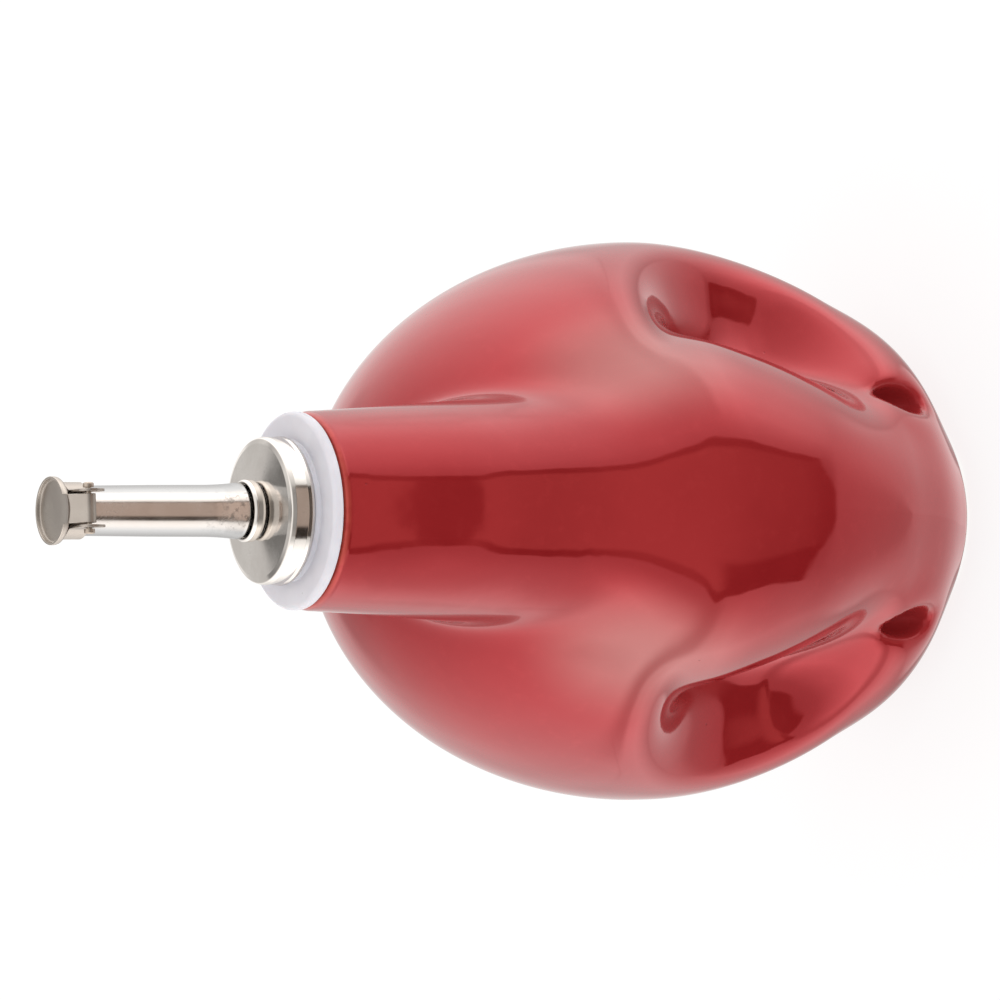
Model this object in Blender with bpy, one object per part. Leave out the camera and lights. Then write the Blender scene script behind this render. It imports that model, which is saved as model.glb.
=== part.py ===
"""Glazed oil cruet with a stainless pourer.

World frame: metres, +Z up, the foot stands on z = 0, the neck side faces -Y.
Sizes below are in millimetres; MM turns them into metres as each mesh is made.
"""
import bpy
import bmesh
import math
import numpy as np

for _old in list(bpy.data.objects):
    bpy.data.objects.remove(_old, do_unlink=True)

MM = 0.001
GAP = 0.3                    # clearance between neighbouring pieces
SHARP_DEG = 35.0             # edges bent more than this are shaded sharp
BODY_SHARP_DEG = 50.0

# ---- ceramic body -------------------------------------------------------
BELLY_Y = 1.75               # belly axis; the origin is under the middle of the footprint
NECK_Y = BELLY_Y - 28.0      # the neck axis stands in front of the belly centre
NECK_C = (0.0, NECK_Y)
LIP_Z = 139.0                # top of the neck
BELLY_C = (0, 0, 55.5)       # from the belly axis, as are the spine and the recesses
BELLY_RX, BELLY_RY, BELLY_RZ = 51.7, 50.7, 63.0

# The neck runs down the front of the belly as a spine.
SPINE = np.array([           # height, half width, front surface y, axis y
    (-12, 15.5, -22.0, -8), (0, 16.6, -28.5, -10), (12, 17.2, -37.5, -16),
    (22, 19.9, -44.5, -21), (35, 24.6, -50.5, -25), (50, 29.5, -53.5, -27),
    (64, 32.0, -54.0, -28), (76, 27.5, -53.1, -28), (88, 22.8, -51.7, -28),
    (100, 20.6, -50.3, -28), (112, 19.4, -49.0, -28), (125, 18.4, -46.8, -28),
    (139, 17.5, -45.0, -28), (160, 17.0, -44.0, -28),
], float)
SPINE_Z, SPINE_HALF_WIDTH, SPINE_FRONT, SPINE_AXIS = SPINE.T
SPINE_FIELD_SCALE = 0.95     # weight of the spine's distance against the belly's
# Blend width of spine and belly, narrowing by JOIN_DROP over JOIN_SPAN above JOIN_Z
JOIN_WIDTH, JOIN_DROP, JOIN_Z, JOIN_SPAN = 7.0, 2.0, 60.0, 30.0

# Ellipsoids taken out of both sides: centre, radii, blend width
GRIP_C, GRIP_R, GRIP_BLEND = (43.0, -49.0, 41.0), (31.3, 36.0, 30.7), 15.0  # broad recess
CREASE_C, CREASE_R, CREASE_BLEND = (31.0, -21.0, 52.0), (2.5, 4.0, 7.0), 7.0  # behind the spine
HEEL_C, HEEL_R, HEEL_BLEND = (19.9, -28.2, 15.6), (2.4, 4.2, 5.0), 6.0  # lower tail

HEEL_SWELL, SWELL_TOP, SWELL_SPAN = 0.078, 20.0, 18.0    # fuller side just above the foot
FOOT_ROUND = 2.5             # rounding where the side meets the foot
WALL = 4.5                   # wall thickness
FLOOR_EXTRA = 1.0            # the floor is thicker than the wall by this
NECK_EXTRA, NECK_EXTRA_Z, NECK_EXTRA_SPAN = 3.4, 84.0, 30.0    # thicker wall up the neck
BORE_R = 12.5                # neck bore
BORE_BOTTOM = 119.0
BORE_EASE_Z, BORE_EASE_SPAN = 100.0, 16.0    # the oil space turns into the round bore
FOOT_C = (0.0, BELLY_Y - 1.0)    # centre of the foot ring
FOOT_FLAT_IN = 18.0          # inner radius of the flat foot ring
FOOT_SHRINK = 1.0 - FOOT_ROUND * 0.8 / 25.0    # flat ring's outer edge against the cut skin
FOOT_DISH = 1.2              # depth of the shallow dish under the foot
DISH_INNER_R = 8.0           # ring of the dish mesh round its centre

# Where the free-form skins are cut and turned rings take over
OUTER_CUT_Z, FOOT_CUT_Z, SPACE_CUT_Z = 126.0, 0.5, 117.5
NECK_RING_Z = (127.5, 131.0, 134.5, 137.6)
NECK_RING_START_R = 18.0     # these rings start here and are pressed onto the skin
LIP_PROFILE = [              # radius, z: over the lip and down the bore
    (17.35, LIP_Z - 0.5), (16.7, LIP_Z), (BORE_R + 0.7, LIP_Z), (BORE_R + 0.15, LIP_Z - 0.3),
    (BORE_R, LIP_Z - 1.0), (BORE_R, 129.0), (BORE_R, BORE_BOTTOM),
]
BODY_SEGMENTS = 40

# Lattice box, cell size and share of faces kept for each skin
OUTER_LATTICE = dict(low=(-54.3, BELLY_Y - 57.3, -3.1), high=(54.3, BELLY_Y + 54.3, 131.0),
                     cell=1.8, keep=0.127)
SPACE_LATTICE = dict(low=(-50.3, BELLY_Y - 53.3, 1.0), high=(50.3, BELLY_Y + 50.3, 123.0),
                     cell=2.65, keep=0.114)

# ---- silicone stopper ---------------------------------------------------
FLANGE_R, FLANGE_T = 17.45, 2.0
FLANGE_Z0 = LIP_Z + GAP
FLANGE_Z1 = FLANGE_Z0 + FLANGE_T
HUB_R, HUB_T = 12.4, 1.1     # raised middle of the flange, under the cap
HUB_Z = FLANGE_Z1 + HUB_T
PLUG_R, FIN_R, PLUG_BOTTOM = 10.2, 12.1, 119.6
FIN_Z = [134.0, 129.0, 124.0]

# ---- pourer -------------------------------------------------------------
TUBE_R0, TUBE_R1, TUBE_BORE = 4.55, 4.36, 3.75    # radii: low, at the tip, inside
TUBE_HOLE_R = TUBE_R0 + GAP  # hole in every piece round the tube
TUBE_FOOT_R, TUBE_FOOT_Z0, TUBE_FOOT_Z1 = 4.95, 151.3, 157.5    # the tube widens downwards
TUBE_BOTTOM, TUBE_TOP = 112.0, 185.8
CAP_R, CAP_Z0, CAP_Z1 = 13.05, 142.7, 147.35
CREST_R, CAP_TOP_Z = 11.4, 147.95    # crease round the cap's top, low cone inside it
COLLAR_R, COLLAR_Z0, COLLAR_Z1 = 5.5, 148.3, 150.6
VENT_X, VENT_R, VENT_BORE, VENT_Z0, VENT_Z1 = 7.6, 1.3, 0.8, 106.0, 143.4
RING_R, RING_Z0, RING_Z1 = 5.9, 117.2, 119.2

# ---- flap and its hinge -------------------------------------------------
PIN_Y, PIN_Z, PIN_R, PIN_HALF, PIN_HEAD_R = NECK_Y - 7.15, 183.35, 0.5, 4.45, 0.95
CLIP_R, CLIP_T, CLIP_Z0, CLIP_Z1 = 4.82, 0.32, 181.8, 185.6
EAR_X, EAR_T, EAR_TIP = 3.1, 0.45, 2.05      # hinge ears, rounded about the pin
EAR_DROP = 0.85                              # their tips hang a little lower than round
EAR_TAPER = 3.2                              # length from the pin back to strap height
PIN_HEAD_X = EAR_X + EAR_T / 2 + 0.25        # inner face of each pin head
LID_R, LID_BASE_Z, LID_FLOOR_Z, LID_RIM_Z = 5.93, 186.1, 186.6, 187.4
STRAP_W, STRAP_T, STRAP_BEND = 2.5, 0.45, 5.6    # half width, thickness, bend from neck axis
STRAP_ROOT = 2.0                             # start of the strap, from the neck axis
BEND_REACH = 0.7                             # how far the bend reaches along each run
KNUCKLE_BORE = 0.8


# ---- signed shape of the body: negative inside -----------------------------
def smooth_min(a, b, width):
    h = np.maximum(width - np.abs(a - b), 0.0) / width
    return np.minimum(a, b) - h * h * h * width / 6.0


def smooth_max(a, b, width):
    return -smooth_min(-a, -b, width)


def ellipsoid(x, y, z, centre, radii):
    dx, dy, dz = x - centre[0], y - centre[1], z - centre[2]
    rx, ry, rz = radii
    k0 = np.sqrt((dx / rx) ** 2 + (dy / ry) ** 2 + (dz / rz) ** 2 + 1e-12)
    k1 = np.sqrt((dx / rx ** 2) ** 2 + (dy / ry ** 2) ** 2 + (dz / rz ** 2) ** 2 + 1e-12)
    return k0 * (k0 - 1.0) / k1


def spine_curve(z, values):
    """Smooth cubic through one column of the spine table."""
    m = np.gradient(values, SPINE_Z)
    i = np.clip(np.searchsorted(SPINE_Z, z) - 1, 0, len(SPINE_Z) - 2)
    h = SPINE_Z[i + 1] - SPINE_Z[i]
    t = np.clip((z - SPINE_Z[i]) / h, 0, 1)
    return ((2 * t ** 3 - 3 * t ** 2 + 1) * values[i] + (t ** 3 - 2 * t ** 2 + t) * h * m[i]
            + (-2 * t ** 3 + 3 * t ** 2) * values[i + 1] + (t ** 3 - t ** 2) * h * m[i + 1])


def ease(t):
    t = np.clip(t, 0, 1)
    return t * t * (3 - 2 * t)


def vessel(points, inset):
    """Outer skin at inset 0; the oil space with inset = wall thickness."""
    x, y, z = points[..., 0], points[..., 1] - BELLY_Y, points[..., 2]
    side_x = np.abs(x)

    def recess(centre, radii):
        return ellipsoid(side_x, y, z, centre, tuple(r + inset for r in radii))

    swell = 1 + HEEL_SWELL * ease((SWELL_TOP - z) / SWELL_SPAN)
    belly = ellipsoid(x / swell, y / swell, z, BELLY_C,
                      (BELLY_RX - inset, BELLY_RY - inset, BELLY_RZ - inset))
    belly = smooth_max(belly, -recess(GRIP_C, GRIP_R), GRIP_BLEND)

    wall, floor_z = inset, 0.0
    if inset > 0:
        wall = inset + NECK_EXTRA * ease((z - NECK_EXTRA_Z) / NECK_EXTRA_SPAN)
        floor_z = inset + FLOOR_EXTRA
    rx = spine_curve(z, SPINE_HALF_WIDTH) - wall
    axis_y = spine_curve(z, SPINE_AXIS)
    ry = axis_y - spine_curve(z, SPINE_FRONT) - wall
    if inset > 0:
        bore = ease((z - BORE_EASE_Z) / BORE_EASE_SPAN)
        rx = rx * (1 - bore) + BORE_R * bore
        ry = ry * (1 - bore) + BORE_R * bore
    k0 = np.sqrt((x / rx) ** 2 + ((y - axis_y) / ry) ** 2 + 1e-9)
    k1 = np.sqrt((x / rx ** 2) ** 2 + ((y - axis_y) / ry ** 2) ** 2 + 1e-12)
    spine = SPINE_FIELD_SCALE * k0 * (k0 - 1) / k1

    body = smooth_min(belly, spine, JOIN_WIDTH - JOIN_DROP * ease((z - JOIN_Z) / JOIN_SPAN))
    deep = smooth_min(recess(CREASE_C, CREASE_R), recess(HEEL_C, HEEL_R), HEEL_BLEND)
    body = smooth_max(body, -deep, CREASE_BLEND)
    return smooth_max(body, -z + floor_z, FOOT_ROUND)


def outer_shape(points):
    return vessel(points, 0.0)


def space_shape(points):
    return vessel(points, WALL)


# ---- meshing a signed shape -------------------------------------------------
def gradient(shape, points, step=0.04):
    result = np.empty_like(points)
    for i in range(3):
        offset = np.zeros(3)
        offset[i] = step
        result[:, i] = (shape(points + offset) - shape(points - offset)) / (2 * step)
    return result


def settle(shape, points, steps=3):
    """Move points along the gradient onto the zero surface."""
    for _ in range(steps):
        g = gradient(shape, points)
        points = points - g * (shape(points) / np.maximum((g * g).sum(1), 0.05))[:, None]
    return points


def lattice_skin(shape, low, high, cell):
    """Quads of the zero surface on a regular lattice, one point per crossed cell."""
    cells = tuple(int(math.ceil((high[i] - low[i]) / cell)) for i in range(3))
    axes = [low[i] + cell * np.arange(cells[i] + 1) for i in range(3)]
    values = shape(np.stack(np.meshgrid(*axes, indexing="ij"), -1))
    total = np.zeros(cells + (3,))
    count = np.zeros(cells)
    cell_ids = np.arange(math.prod(cells)).reshape(cells)
    quads = []
    for a in range(3):
        b, c = (a + 1) % 3, (a + 2) % 3
        near = [slice(None)] * 3
        far = [slice(None)] * 3
        near[a] = slice(0, -1)
        far[a] = slice(1, None)
        v0, v1 = values[tuple(near)], values[tuple(far)]
        crossed = np.argwhere((v0 < 0) != (v1 < 0))
        inside = ((crossed[:, b] > 0) & (crossed[:, b] < cells[b])
                  & (crossed[:, c] > 0) & (crossed[:, c] < cells[c]))
        crossed = crossed[inside]
        w0, w1 = v0[tuple(crossed.T)], v1[tuple(crossed.T)]
        hits = np.stack([axes[i][crossed[:, i]] for i in range(3)], 1)
        hits[:, a] += cell * w0 / (w0 - w1)
        around = []
        for back_b, back_c in ((1, 1), (0, 1), (0, 0), (1, 0)):
            index = crossed.copy()
            index[:, b] -= back_b
            index[:, c] -= back_c
            np.add.at(total, tuple(index.T), hits)
            np.add.at(count, tuple(index.T), 1)
            around.append(cell_ids[tuple(index.T)])
        quad = np.stack(around, 1)
        flip = w0 > 0
        quad[flip] = quad[flip][:, ::-1]
        quads.append(quad)
    quads = np.concatenate(quads)
    used, renumbered = np.unique(quads, return_inverse=True)
    points = total.reshape(-1, 3)[used] / count.reshape(-1)[used][:, None]
    return points, renumbered.reshape(quads.shape)


def relax(shape, points, quads, rounds):
    """Even out the spacing of the points while keeping them on the surface."""
    edges = np.concatenate([quads[:, [i, (i + 1) % 4]] for i in range(4)])
    for _ in range(rounds):
        total = np.zeros_like(points)
        count = np.zeros(len(points))
        np.add.at(total, edges[:, 0], points[edges[:, 1]])
        np.add.at(count, edges[:, 0], 1)
        mean = 0.4 * points + 0.6 * total / np.maximum(count, 1)[:, None]
        points = settle(shape, mean, 1)
    return settle(shape, points)


def thin_out(shape, points, faces, keep):
    """Collapse the lattice mesh to fewer, better placed triangles."""
    mesh = bpy.data.meshes.new("lattice")
    mesh.from_pydata(points.tolist(), [], faces.tolist())
    ob = bpy.data.objects.new("lattice", mesh)
    bpy.context.scene.collection.objects.link(ob)
    ob.modifiers.new("thin", "DECIMATE").ratio = keep
    depsgraph = bpy.context.evaluated_depsgraph_get()
    result = bpy.data.meshes.new_from_object(ob.evaluated_get(depsgraph))
    coords = np.empty(len(result.vertices) * 3)
    result.vertices.foreach_get("co", coords)
    triangles = [list(p.vertices) for p in result.polygons]
    bpy.data.objects.remove(ob, do_unlink=True)
    bpy.data.meshes.remove(mesh)
    bpy.data.meshes.remove(result)
    return settle(shape, coords.reshape(-1, 3)), triangles


def skin_bmesh(shape, low, high, cell, keep, outward):
    points, faces = lattice_skin(shape, low, high, cell)
    points = relax(shape, points, faces, rounds=2)
    points, faces = thin_out(shape, points, faces, keep)
    bm = bmesh.new()
    verts = [bm.verts.new(p) for p in points]
    for face in faces:
        bm.faces.new([verts[i] for i in (face if outward else face[::-1])])
    return bm


# ---- rims and rings -----------------------------------------------------------
def cut(bm, z, keep_above):
    bmesh.ops.bisect_plane(bm, geom=bm.verts[:] + bm.edges[:] + bm.faces[:], dist=1e-5,
                           plane_co=(0, 0, z), plane_no=(0, 0, 1),
                           clear_inner=keep_above, clear_outer=not keep_above)


def angle_about(vert, centre):
    return math.atan2(vert.co.y - centre[1], vert.co.x - centre[0])


def pressed(shape, verts, centre):
    """Slide a rim in its own plane until it lies on the surface."""
    probe = 0.05
    min_slope = 0.2
    middle = np.array(centre)
    points = np.array([v.co[:] for v in verts])
    offset = points[:, :2] - middle
    radius = np.hypot(offset[:, 0], offset[:, 1])
    direction = offset / radius[:, None]

    def value_at(r):
        return shape(np.column_stack([middle + direction * r[:, None], points[:, 2]]))

    for _ in range(6):
        value = value_at(radius)
        rate = (value_at(radius + probe) - value) / probe
        radius = radius - value / np.where(np.abs(rate) < min_slope, min_slope, rate)
    for v, d, r in zip(verts, direction, radius):
        v.co.x, v.co.y = centre[0] + d[0] * r, centre[1] + d[1] * r
    return verts


def cut_rim(bm, shape, z, centre):
    """Open edge left by a cut at z, in order of angle and pressed onto the surface."""
    verts = {v for e in bm.edges
             if e.is_boundary and all(abs(w.co.z - z) < 1e-3 for w in e.verts)
             for v in e.verts}
    return pressed(shape, sorted(verts, key=lambda v: angle_about(v, centre)), centre)


def zipper(bm, low, high, centre, outward):
    """Triangles between two rims sorted by angle round the same centre."""
    turn = 2 * math.pi
    a = [angle_about(v, centre) for v in low]
    b = [angle_about(v, centre) for v in high]

    def from_start(angle):
        return (angle - a[0] + math.pi) % turn - math.pi

    k = min(range(len(b)), key=lambda n: abs(from_start(b[n])))
    first = a[0] + from_start(b[k])
    b = [first + ((v - b[k]) % turn) for v in b[k:] + b[:k]] + [first + turn]
    a = a + [a[0] + turn]
    low = low + [low[0]]
    high = high[k:] + high[:k] + [high[k]]
    i = j = 0
    n, m = len(a) - 1, len(b) - 1
    while i < n or j < m:
        if j >= m or (i < n and a[i + 1] <= b[j + 1]):
            triangle = (low[i], low[i + 1], high[j])
            i += 1
        else:
            triangle = (low[i], high[j + 1], high[j])
            j += 1
        bm.faces.new(triangle if outward else triangle[::-1])


def circle(bm, radius, z, centre):
    angles = [-math.pi + 2 * math.pi * (k + 0.5) / BODY_SEGMENTS for k in range(BODY_SEGMENTS)]
    return [bm.verts.new((centre[0] + radius * math.cos(a), centre[1] + radius * math.sin(a), z))
            for a in angles]


def strip(bm, low, high, outward=True):
    """Quads between two rings with equal counts."""
    n = len(low)
    for k in range(n):
        quad = (low[k], low[(k + 1) % n], high[(k + 1) % n], high[k])
        bm.faces.new(quad if outward else quad[::-1])


# ---- ceramic body -------------------------------------------------------
def add_neck(bm):
    """Rings up the neck, over the lip and down the bore; returns the last one."""
    top = cut_rim(bm, outer_shape, OUTER_CUT_Z, NECK_C)
    previous = None
    for z in NECK_RING_Z:
        ring = pressed(outer_shape, circle(bm, NECK_RING_START_R, z, NECK_C), NECK_C)
        if previous is None:
            zipper(bm, top, ring, NECK_C, outward=True)
        else:
            strip(bm, previous, ring)
        previous = ring
    for radius, z in LIP_PROFILE:
        ring = circle(bm, radius, z, NECK_C)
        strip(bm, previous, ring)
        previous = ring
    return previous


def add_foot(bm):
    """Rounded edge, flat ring and shallow dish."""
    cx, cy = FOOT_C
    low = cut_rim(bm, outer_shape, FOOT_CUT_Z, FOOT_C)
    flat = [bm.verts.new((cx + (v.co.x - cx) * FOOT_SHRINK, cy + (v.co.y - cy) * FOOT_SHRINK, 0.0))
            for v in low]
    strip(bm, low, flat, outward=False)
    ring = circle(bm, FOOT_FLAT_IN, 0.0, FOOT_C)
    zipper(bm, flat, ring, FOOT_C, outward=False)
    for radius in (FOOT_FLAT_IN - 0.8, DISH_INNER_R):
        inner = circle(bm, radius, FOOT_DISH, FOOT_C)
        strip(bm, ring, inner, outward=False)
        ring = inner
    middle = bm.verts.new((cx, cy, FOOT_DISH))
    for k in range(BODY_SEGMENTS):
        bm.faces.new((ring[(k + 1) % BODY_SEGMENTS], ring[k], middle))


def add_oil_space(bm, bore_end):
    space = skin_bmesh(space_shape, outward=False, **SPACE_LATTICE)
    cut(space, SPACE_CUT_Z, keep_above=False)
    mesh = bpy.data.meshes.new("space")
    space.to_mesh(mesh)
    space.free()
    bm.from_mesh(mesh)
    bpy.data.meshes.remove(mesh)
    top = cut_rim(bm, space_shape, SPACE_CUT_Z, NECK_C)
    zipper(bm, top, bore_end, NECK_C, outward=False)


def body_bmesh():
    bm = skin_bmesh(outer_shape, outward=True, **OUTER_LATTICE)
    cut(bm, OUTER_CUT_Z, keep_above=False)
    cut(bm, FOOT_CUT_Z, keep_above=True)
    bore_end = add_neck(bm)
    add_foot(bm)
    add_oil_space(bm, bore_end)
    for v in bm.verts:
        v.co *= MM
    return bm


# ---- materials and objects -------------------------------------------------
def material(name, rgb, roughness, metallic):
    mat = bpy.data.materials.new(name)
    mat.use_nodes = True
    inputs = mat.node_tree.nodes["Principled BSDF"].inputs
    inputs["Base Color"].default_value = (*rgb, 1.0)
    inputs["Roughness"].default_value = roughness
    inputs["Metallic"].default_value = metallic
    return mat


def shade(bm, sharp_deg):
    for f in bm.faces:
        f.smooth = True
    limit = math.radians(sharp_deg)
    for e in bm.edges:
        e.smooth = not (len(e.link_faces) == 2 and e.calc_face_angle(0) > limit)


def place(name, bm, mat, sharp_deg=SHARP_DEG):
    """Make an object of a mesh drawn in world metres."""
    bm.normal_update()
    shade(bm, sharp_deg)
    mesh = bpy.data.meshes.new(name)
    bm.to_mesh(mesh)
    bm.free()
    mesh.materials.append(mat)
    ob = bpy.data.objects.new(name, mesh)
    bpy.context.scene.collection.objects.link(ob)
    return ob


def combine(ob, bm, operation):
    """Union with or subtract a helper body, then drop the helper."""
    helper_mesh = bpy.data.meshes.new("helper")
    bm.to_mesh(helper_mesh)
    bm.free()
    helper = bpy.data.objects.new("helper", helper_mesh)
    bpy.context.scene.collection.objects.link(helper)
    mod = ob.modifiers.new("join", "BOOLEAN")
    mod.operation = operation
    mod.solver = "EXACT"
    mod.object = helper
    depsgraph = bpy.context.evaluated_depsgraph_get()
    result = bpy.data.meshes.new_from_object(ob.evaluated_get(depsgraph))
    old = ob.data
    name, mat = old.name, old.materials[0]
    ob.modifiers.clear()
    ob.data = result
    bpy.data.meshes.remove(old)
    bpy.data.objects.remove(helper, do_unlink=True)
    bpy.data.meshes.remove(helper_mesh)
    result.name = name
    result.materials.clear()
    result.materials.append(mat)
    clean = bmesh.new()
    clean.from_mesh(result)
    bmesh.ops.remove_doubles(clean, verts=clean.verts[:], dist=1e-6)
    bmesh.ops.dissolve_degenerate(clean, edges=clean.edges[:], dist=1e-6)
    for f in clean.faces:
        f.material_index = 0
    shade(clean, SHARP_DEG)
    clean.to_mesh(result)
    clean.free()


# ---- swept and turned bodies -------------------------------------------------
def sweep(stations, closed=False):
    """Join loops of points in millimetres; the ends are capped or, if closed, joined."""
    bm = bmesh.new()
    rings = [[bm.verts.new([c * MM for c in p]) for p in loop] for loop in stations]
    for a, b in zip(rings, rings[1:]):
        strip(bm, a, b)
    if closed:
        strip(bm, rings[-1], rings[0])
    else:
        bm.faces.new(rings[0][::-1])
        bm.faces.new(rings[-1])
    bmesh.ops.recalc_face_normals(bm, faces=bm.faces[:])
    return bm


def unit_circle(count):
    angles = [2 * math.pi * k / count for k in range(count)]
    return [(math.cos(a), math.sin(a)) for a in angles]


def upright(profile, count, x=0.0, closed=False):
    """Turned about a vertical axis at (x, NECK_Y): profile is (radius, z)."""
    return sweep([[(x + r * c, NECK_Y + r * s, z) for c, s in unit_circle(count)]
                  for r, z in profile], closed)


def lathe(profile, count, x=0.0):
    """Upright ring whose profile is a loop that never touches the axis."""
    return upright(profile, count, x, closed=True)


def pin_rod(profile):
    """Solid turned about the hinge axis, along X: profile is (x, radius)."""
    return sweep([[(x, PIN_Y + r * c, PIN_Z + r * s) for c, s in unit_circle(20)]
                  for x, r in profile])


# ---- silicone stopper: flange on the lip, finned plug in the bore --------
def build_stopper(mat):
    profile = [
        (TUBE_HOLE_R, HUB_Z), (HUB_R - 0.5, HUB_Z), (HUB_R, HUB_Z - 0.4),
        (HUB_R + 0.3, FLANGE_Z1), (16.8, FLANGE_Z1), (FLANGE_R - 0.2, FLANGE_Z1 - 0.3),
        (FLANGE_R, FLANGE_Z1 - 0.8), (FLANGE_R, FLANGE_Z0 + 0.7), (17.2, FLANGE_Z0 + 0.2),
        (16.6, FLANGE_Z0), (PLUG_R + 1.2, FLANGE_Z0), (PLUG_R, FLANGE_Z0 - 1.0),
    ]
    for z in FIN_Z:
        profile += [(PLUG_R, z + 1.1), (FIN_R, z + 0.6), (FIN_R, z + 0.1), (PLUG_R, z - 1.4)]
    profile += [(PLUG_R, PLUG_BOTTOM + 1.0), (PLUG_R - 1.0, PLUG_BOTTOM),
                (TUBE_HOLE_R, PLUG_BOTTOM)]
    stopper = place("stopper_plug", lathe(profile, 40), mat)
    hole_r = VENT_R + GAP
    hole = upright([(hole_r, PLUG_BOTTOM - 1), (hole_r, HUB_Z + 1)], 16, x=VENT_X)
    combine(stopper, hole, "DIFFERENCE")


# ---- breather tube beside the spout tube, inside the plug -----------------
def build_vent(mat):
    profile = [(VENT_R, VENT_Z0), (VENT_R, VENT_Z1), (VENT_BORE, VENT_Z1), (VENT_BORE, VENT_Z0)]
    place("air_vent_tube", lathe(profile, 16, x=VENT_X), mat)


def build_tube(mat):
    profile = [
        (TUBE_R0 - 0.15, TUBE_BOTTOM), (TUBE_R0, TUBE_BOTTOM + 0.2), (TUBE_R0, CAP_TOP_Z - 2.5),
        (TUBE_R0, TUBE_FOOT_Z0 - 0.6), (TUBE_FOOT_R - 0.1, TUBE_FOOT_Z0),
        (TUBE_FOOT_R, TUBE_FOOT_Z0 + 0.4), (TUBE_FOOT_R - 0.14, TUBE_FOOT_Z0 + 1.8),
        (TUBE_FOOT_R - 0.3, TUBE_FOOT_Z0 + 3.8), (TUBE_R0 + 0.01, TUBE_FOOT_Z1),
        (4.5, 168.0), (TUBE_R1, 181.0), (TUBE_R1, TUBE_TOP - 0.2), (TUBE_R1 - 0.2, TUBE_TOP),
        (TUBE_BORE + 0.1, TUBE_TOP), (TUBE_BORE, TUBE_TOP - 0.2), (TUBE_BORE, TUBE_BOTTOM),
    ]
    place("spout_tube", lathe(profile, 36), mat)


# ---- ring clamped on the tube under the plug ------------------------------
def build_retaining_ring(mat):
    profile = [
        (TUBE_HOLE_R, RING_Z0), (RING_R - 0.2, RING_Z0), (RING_R, RING_Z0 + 0.3),
        (RING_R, RING_Z1 - 0.3), (RING_R - 0.2, RING_Z1), (TUBE_HOLE_R, RING_Z1),
    ]
    place("retaining_ring", lathe(profile, 32), mat)


# ---- pressed cap over the stopper, open underneath -------------------------
def build_cap(mat):
    profile = [
        (TUBE_HOLE_R, CAP_TOP_Z), (5.1, CAP_TOP_Z), (CREST_R, CAP_Z1), (12.1, CAP_Z1 - 0.2),
        (12.7, CAP_Z1 - 0.6), (CAP_R - 0.07, CAP_Z1 - 1.2), (CAP_R - 0.07, CAP_Z0 + 1.2),
        (CAP_R + 0.05, CAP_Z0 + 0.7), (CAP_R + 0.05, CAP_Z0 + 0.25), (CAP_R - 0.15, CAP_Z0),
        (CAP_R - 0.6, CAP_Z0 + 0.1), (CAP_R - 0.75, CAP_Z1 - 1.5), (11.2, CAP_Z1 - 0.75),
        (TUBE_HOLE_R, CAP_TOP_Z - 0.8),
    ]
    place("spout_cap", lathe(profile, 48), mat)


# ---- collar on the tube just above the cap ---------------------------------
def build_collar(mat):
    profile = [
        (TUBE_HOLE_R, COLLAR_Z0), (COLLAR_R - 0.4, COLLAR_Z0), (COLLAR_R - 0.1, COLLAR_Z0 + 0.35),
        (COLLAR_R, COLLAR_Z0 + 0.9), (COLLAR_R - 0.05, COLLAR_Z1 - 0.7),
        (COLLAR_R - 0.35, COLLAR_Z1 - 0.15), (COLLAR_R - 0.5, COLLAR_Z1),
        (TUBE_HOLE_R, COLLAR_Z1 - 0.25),
    ]
    place("spout_collar", lathe(profile, 36), mat)


# ---- hinge clip: strap round the tube, ends turned forward as ears ----------
def clip_bmesh():
    tip_y = PIN_Y - EAR_TIP + 0.1
    root_dy = -math.sqrt(CLIP_R ** 2 - EAR_X ** 2)    # ear root, from the neck axis
    ear_y = np.linspace(tip_y, NECK_Y + root_dy, 9)
    start = math.atan2(root_dy, -EAR_X)
    end = math.atan2(root_dy, EAR_X)
    turn = (end - start) % (2 * math.pi) - 2 * math.pi    # the long way, round the back

    path = [(-EAR_X, y, (-1.0, 0.0), EAR_T) for y in ear_y[:-1]]    # x, y, normal, thickness
    for t in np.linspace(0, 1, 29):
        c, s = math.cos(start + turn * t), math.sin(start + turn * t)
        path.append((CLIP_R * c, NECK_Y + CLIP_R * s, (c, s), CLIP_T))
    path += [(EAR_X, y, (1.0, 0.0), EAR_T) for y in ear_y[-2::-1]]

    stations = []
    for x, y, normal, thickness in path:
        dy = y - PIN_Y
        top, bottom = CLIP_Z1, CLIP_Z0
        if dy < 0:
            half = math.sqrt(EAR_TIP ** 2 - dy * dy)
            top, bottom = PIN_Z + half, PIN_Z - half * (1 + EAR_DROP / EAR_TIP)
        elif dy < EAR_TAPER:
            s = float(ease(dy / EAR_TAPER))
            top = (PIN_Z + EAR_TIP) * (1 - s) + CLIP_Z1 * s
            bottom = (PIN_Z - EAR_TIP - EAR_DROP) * (1 - s) + CLIP_Z0 * s
        hx, hy = normal[0] * thickness / 2, normal[1] * thickness / 2
        stations.append([(x + hx, y + hy, bottom), (x + hx, y + hy, top),
                         (x - hx, y - hy, top), (x - hx, y - hy, bottom)])
    return sweep(stations)


def build_clip(mat):
    clip = place("hinge_clip", clip_bmesh(), mat)
    combine(clip, pin_rod([(-6, PIN_R + GAP), (6, PIN_R + GAP)]), "DIFFERENCE")


# ---- hinge pin: shaft with a flat head outside each ear ---------------------
def build_pin(mat):
    half = [(PIN_HEAD_X - 0.02, PIN_R), (PIN_HEAD_X, PIN_HEAD_R), (PIN_HALF - 0.15, PIN_HEAD_R),
            (PIN_HALF, PIN_HEAD_R - 0.2)]
    place("hinge_pin", pin_rod([(-x, r) for x, r in half[::-1]] + half), mat)


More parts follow.
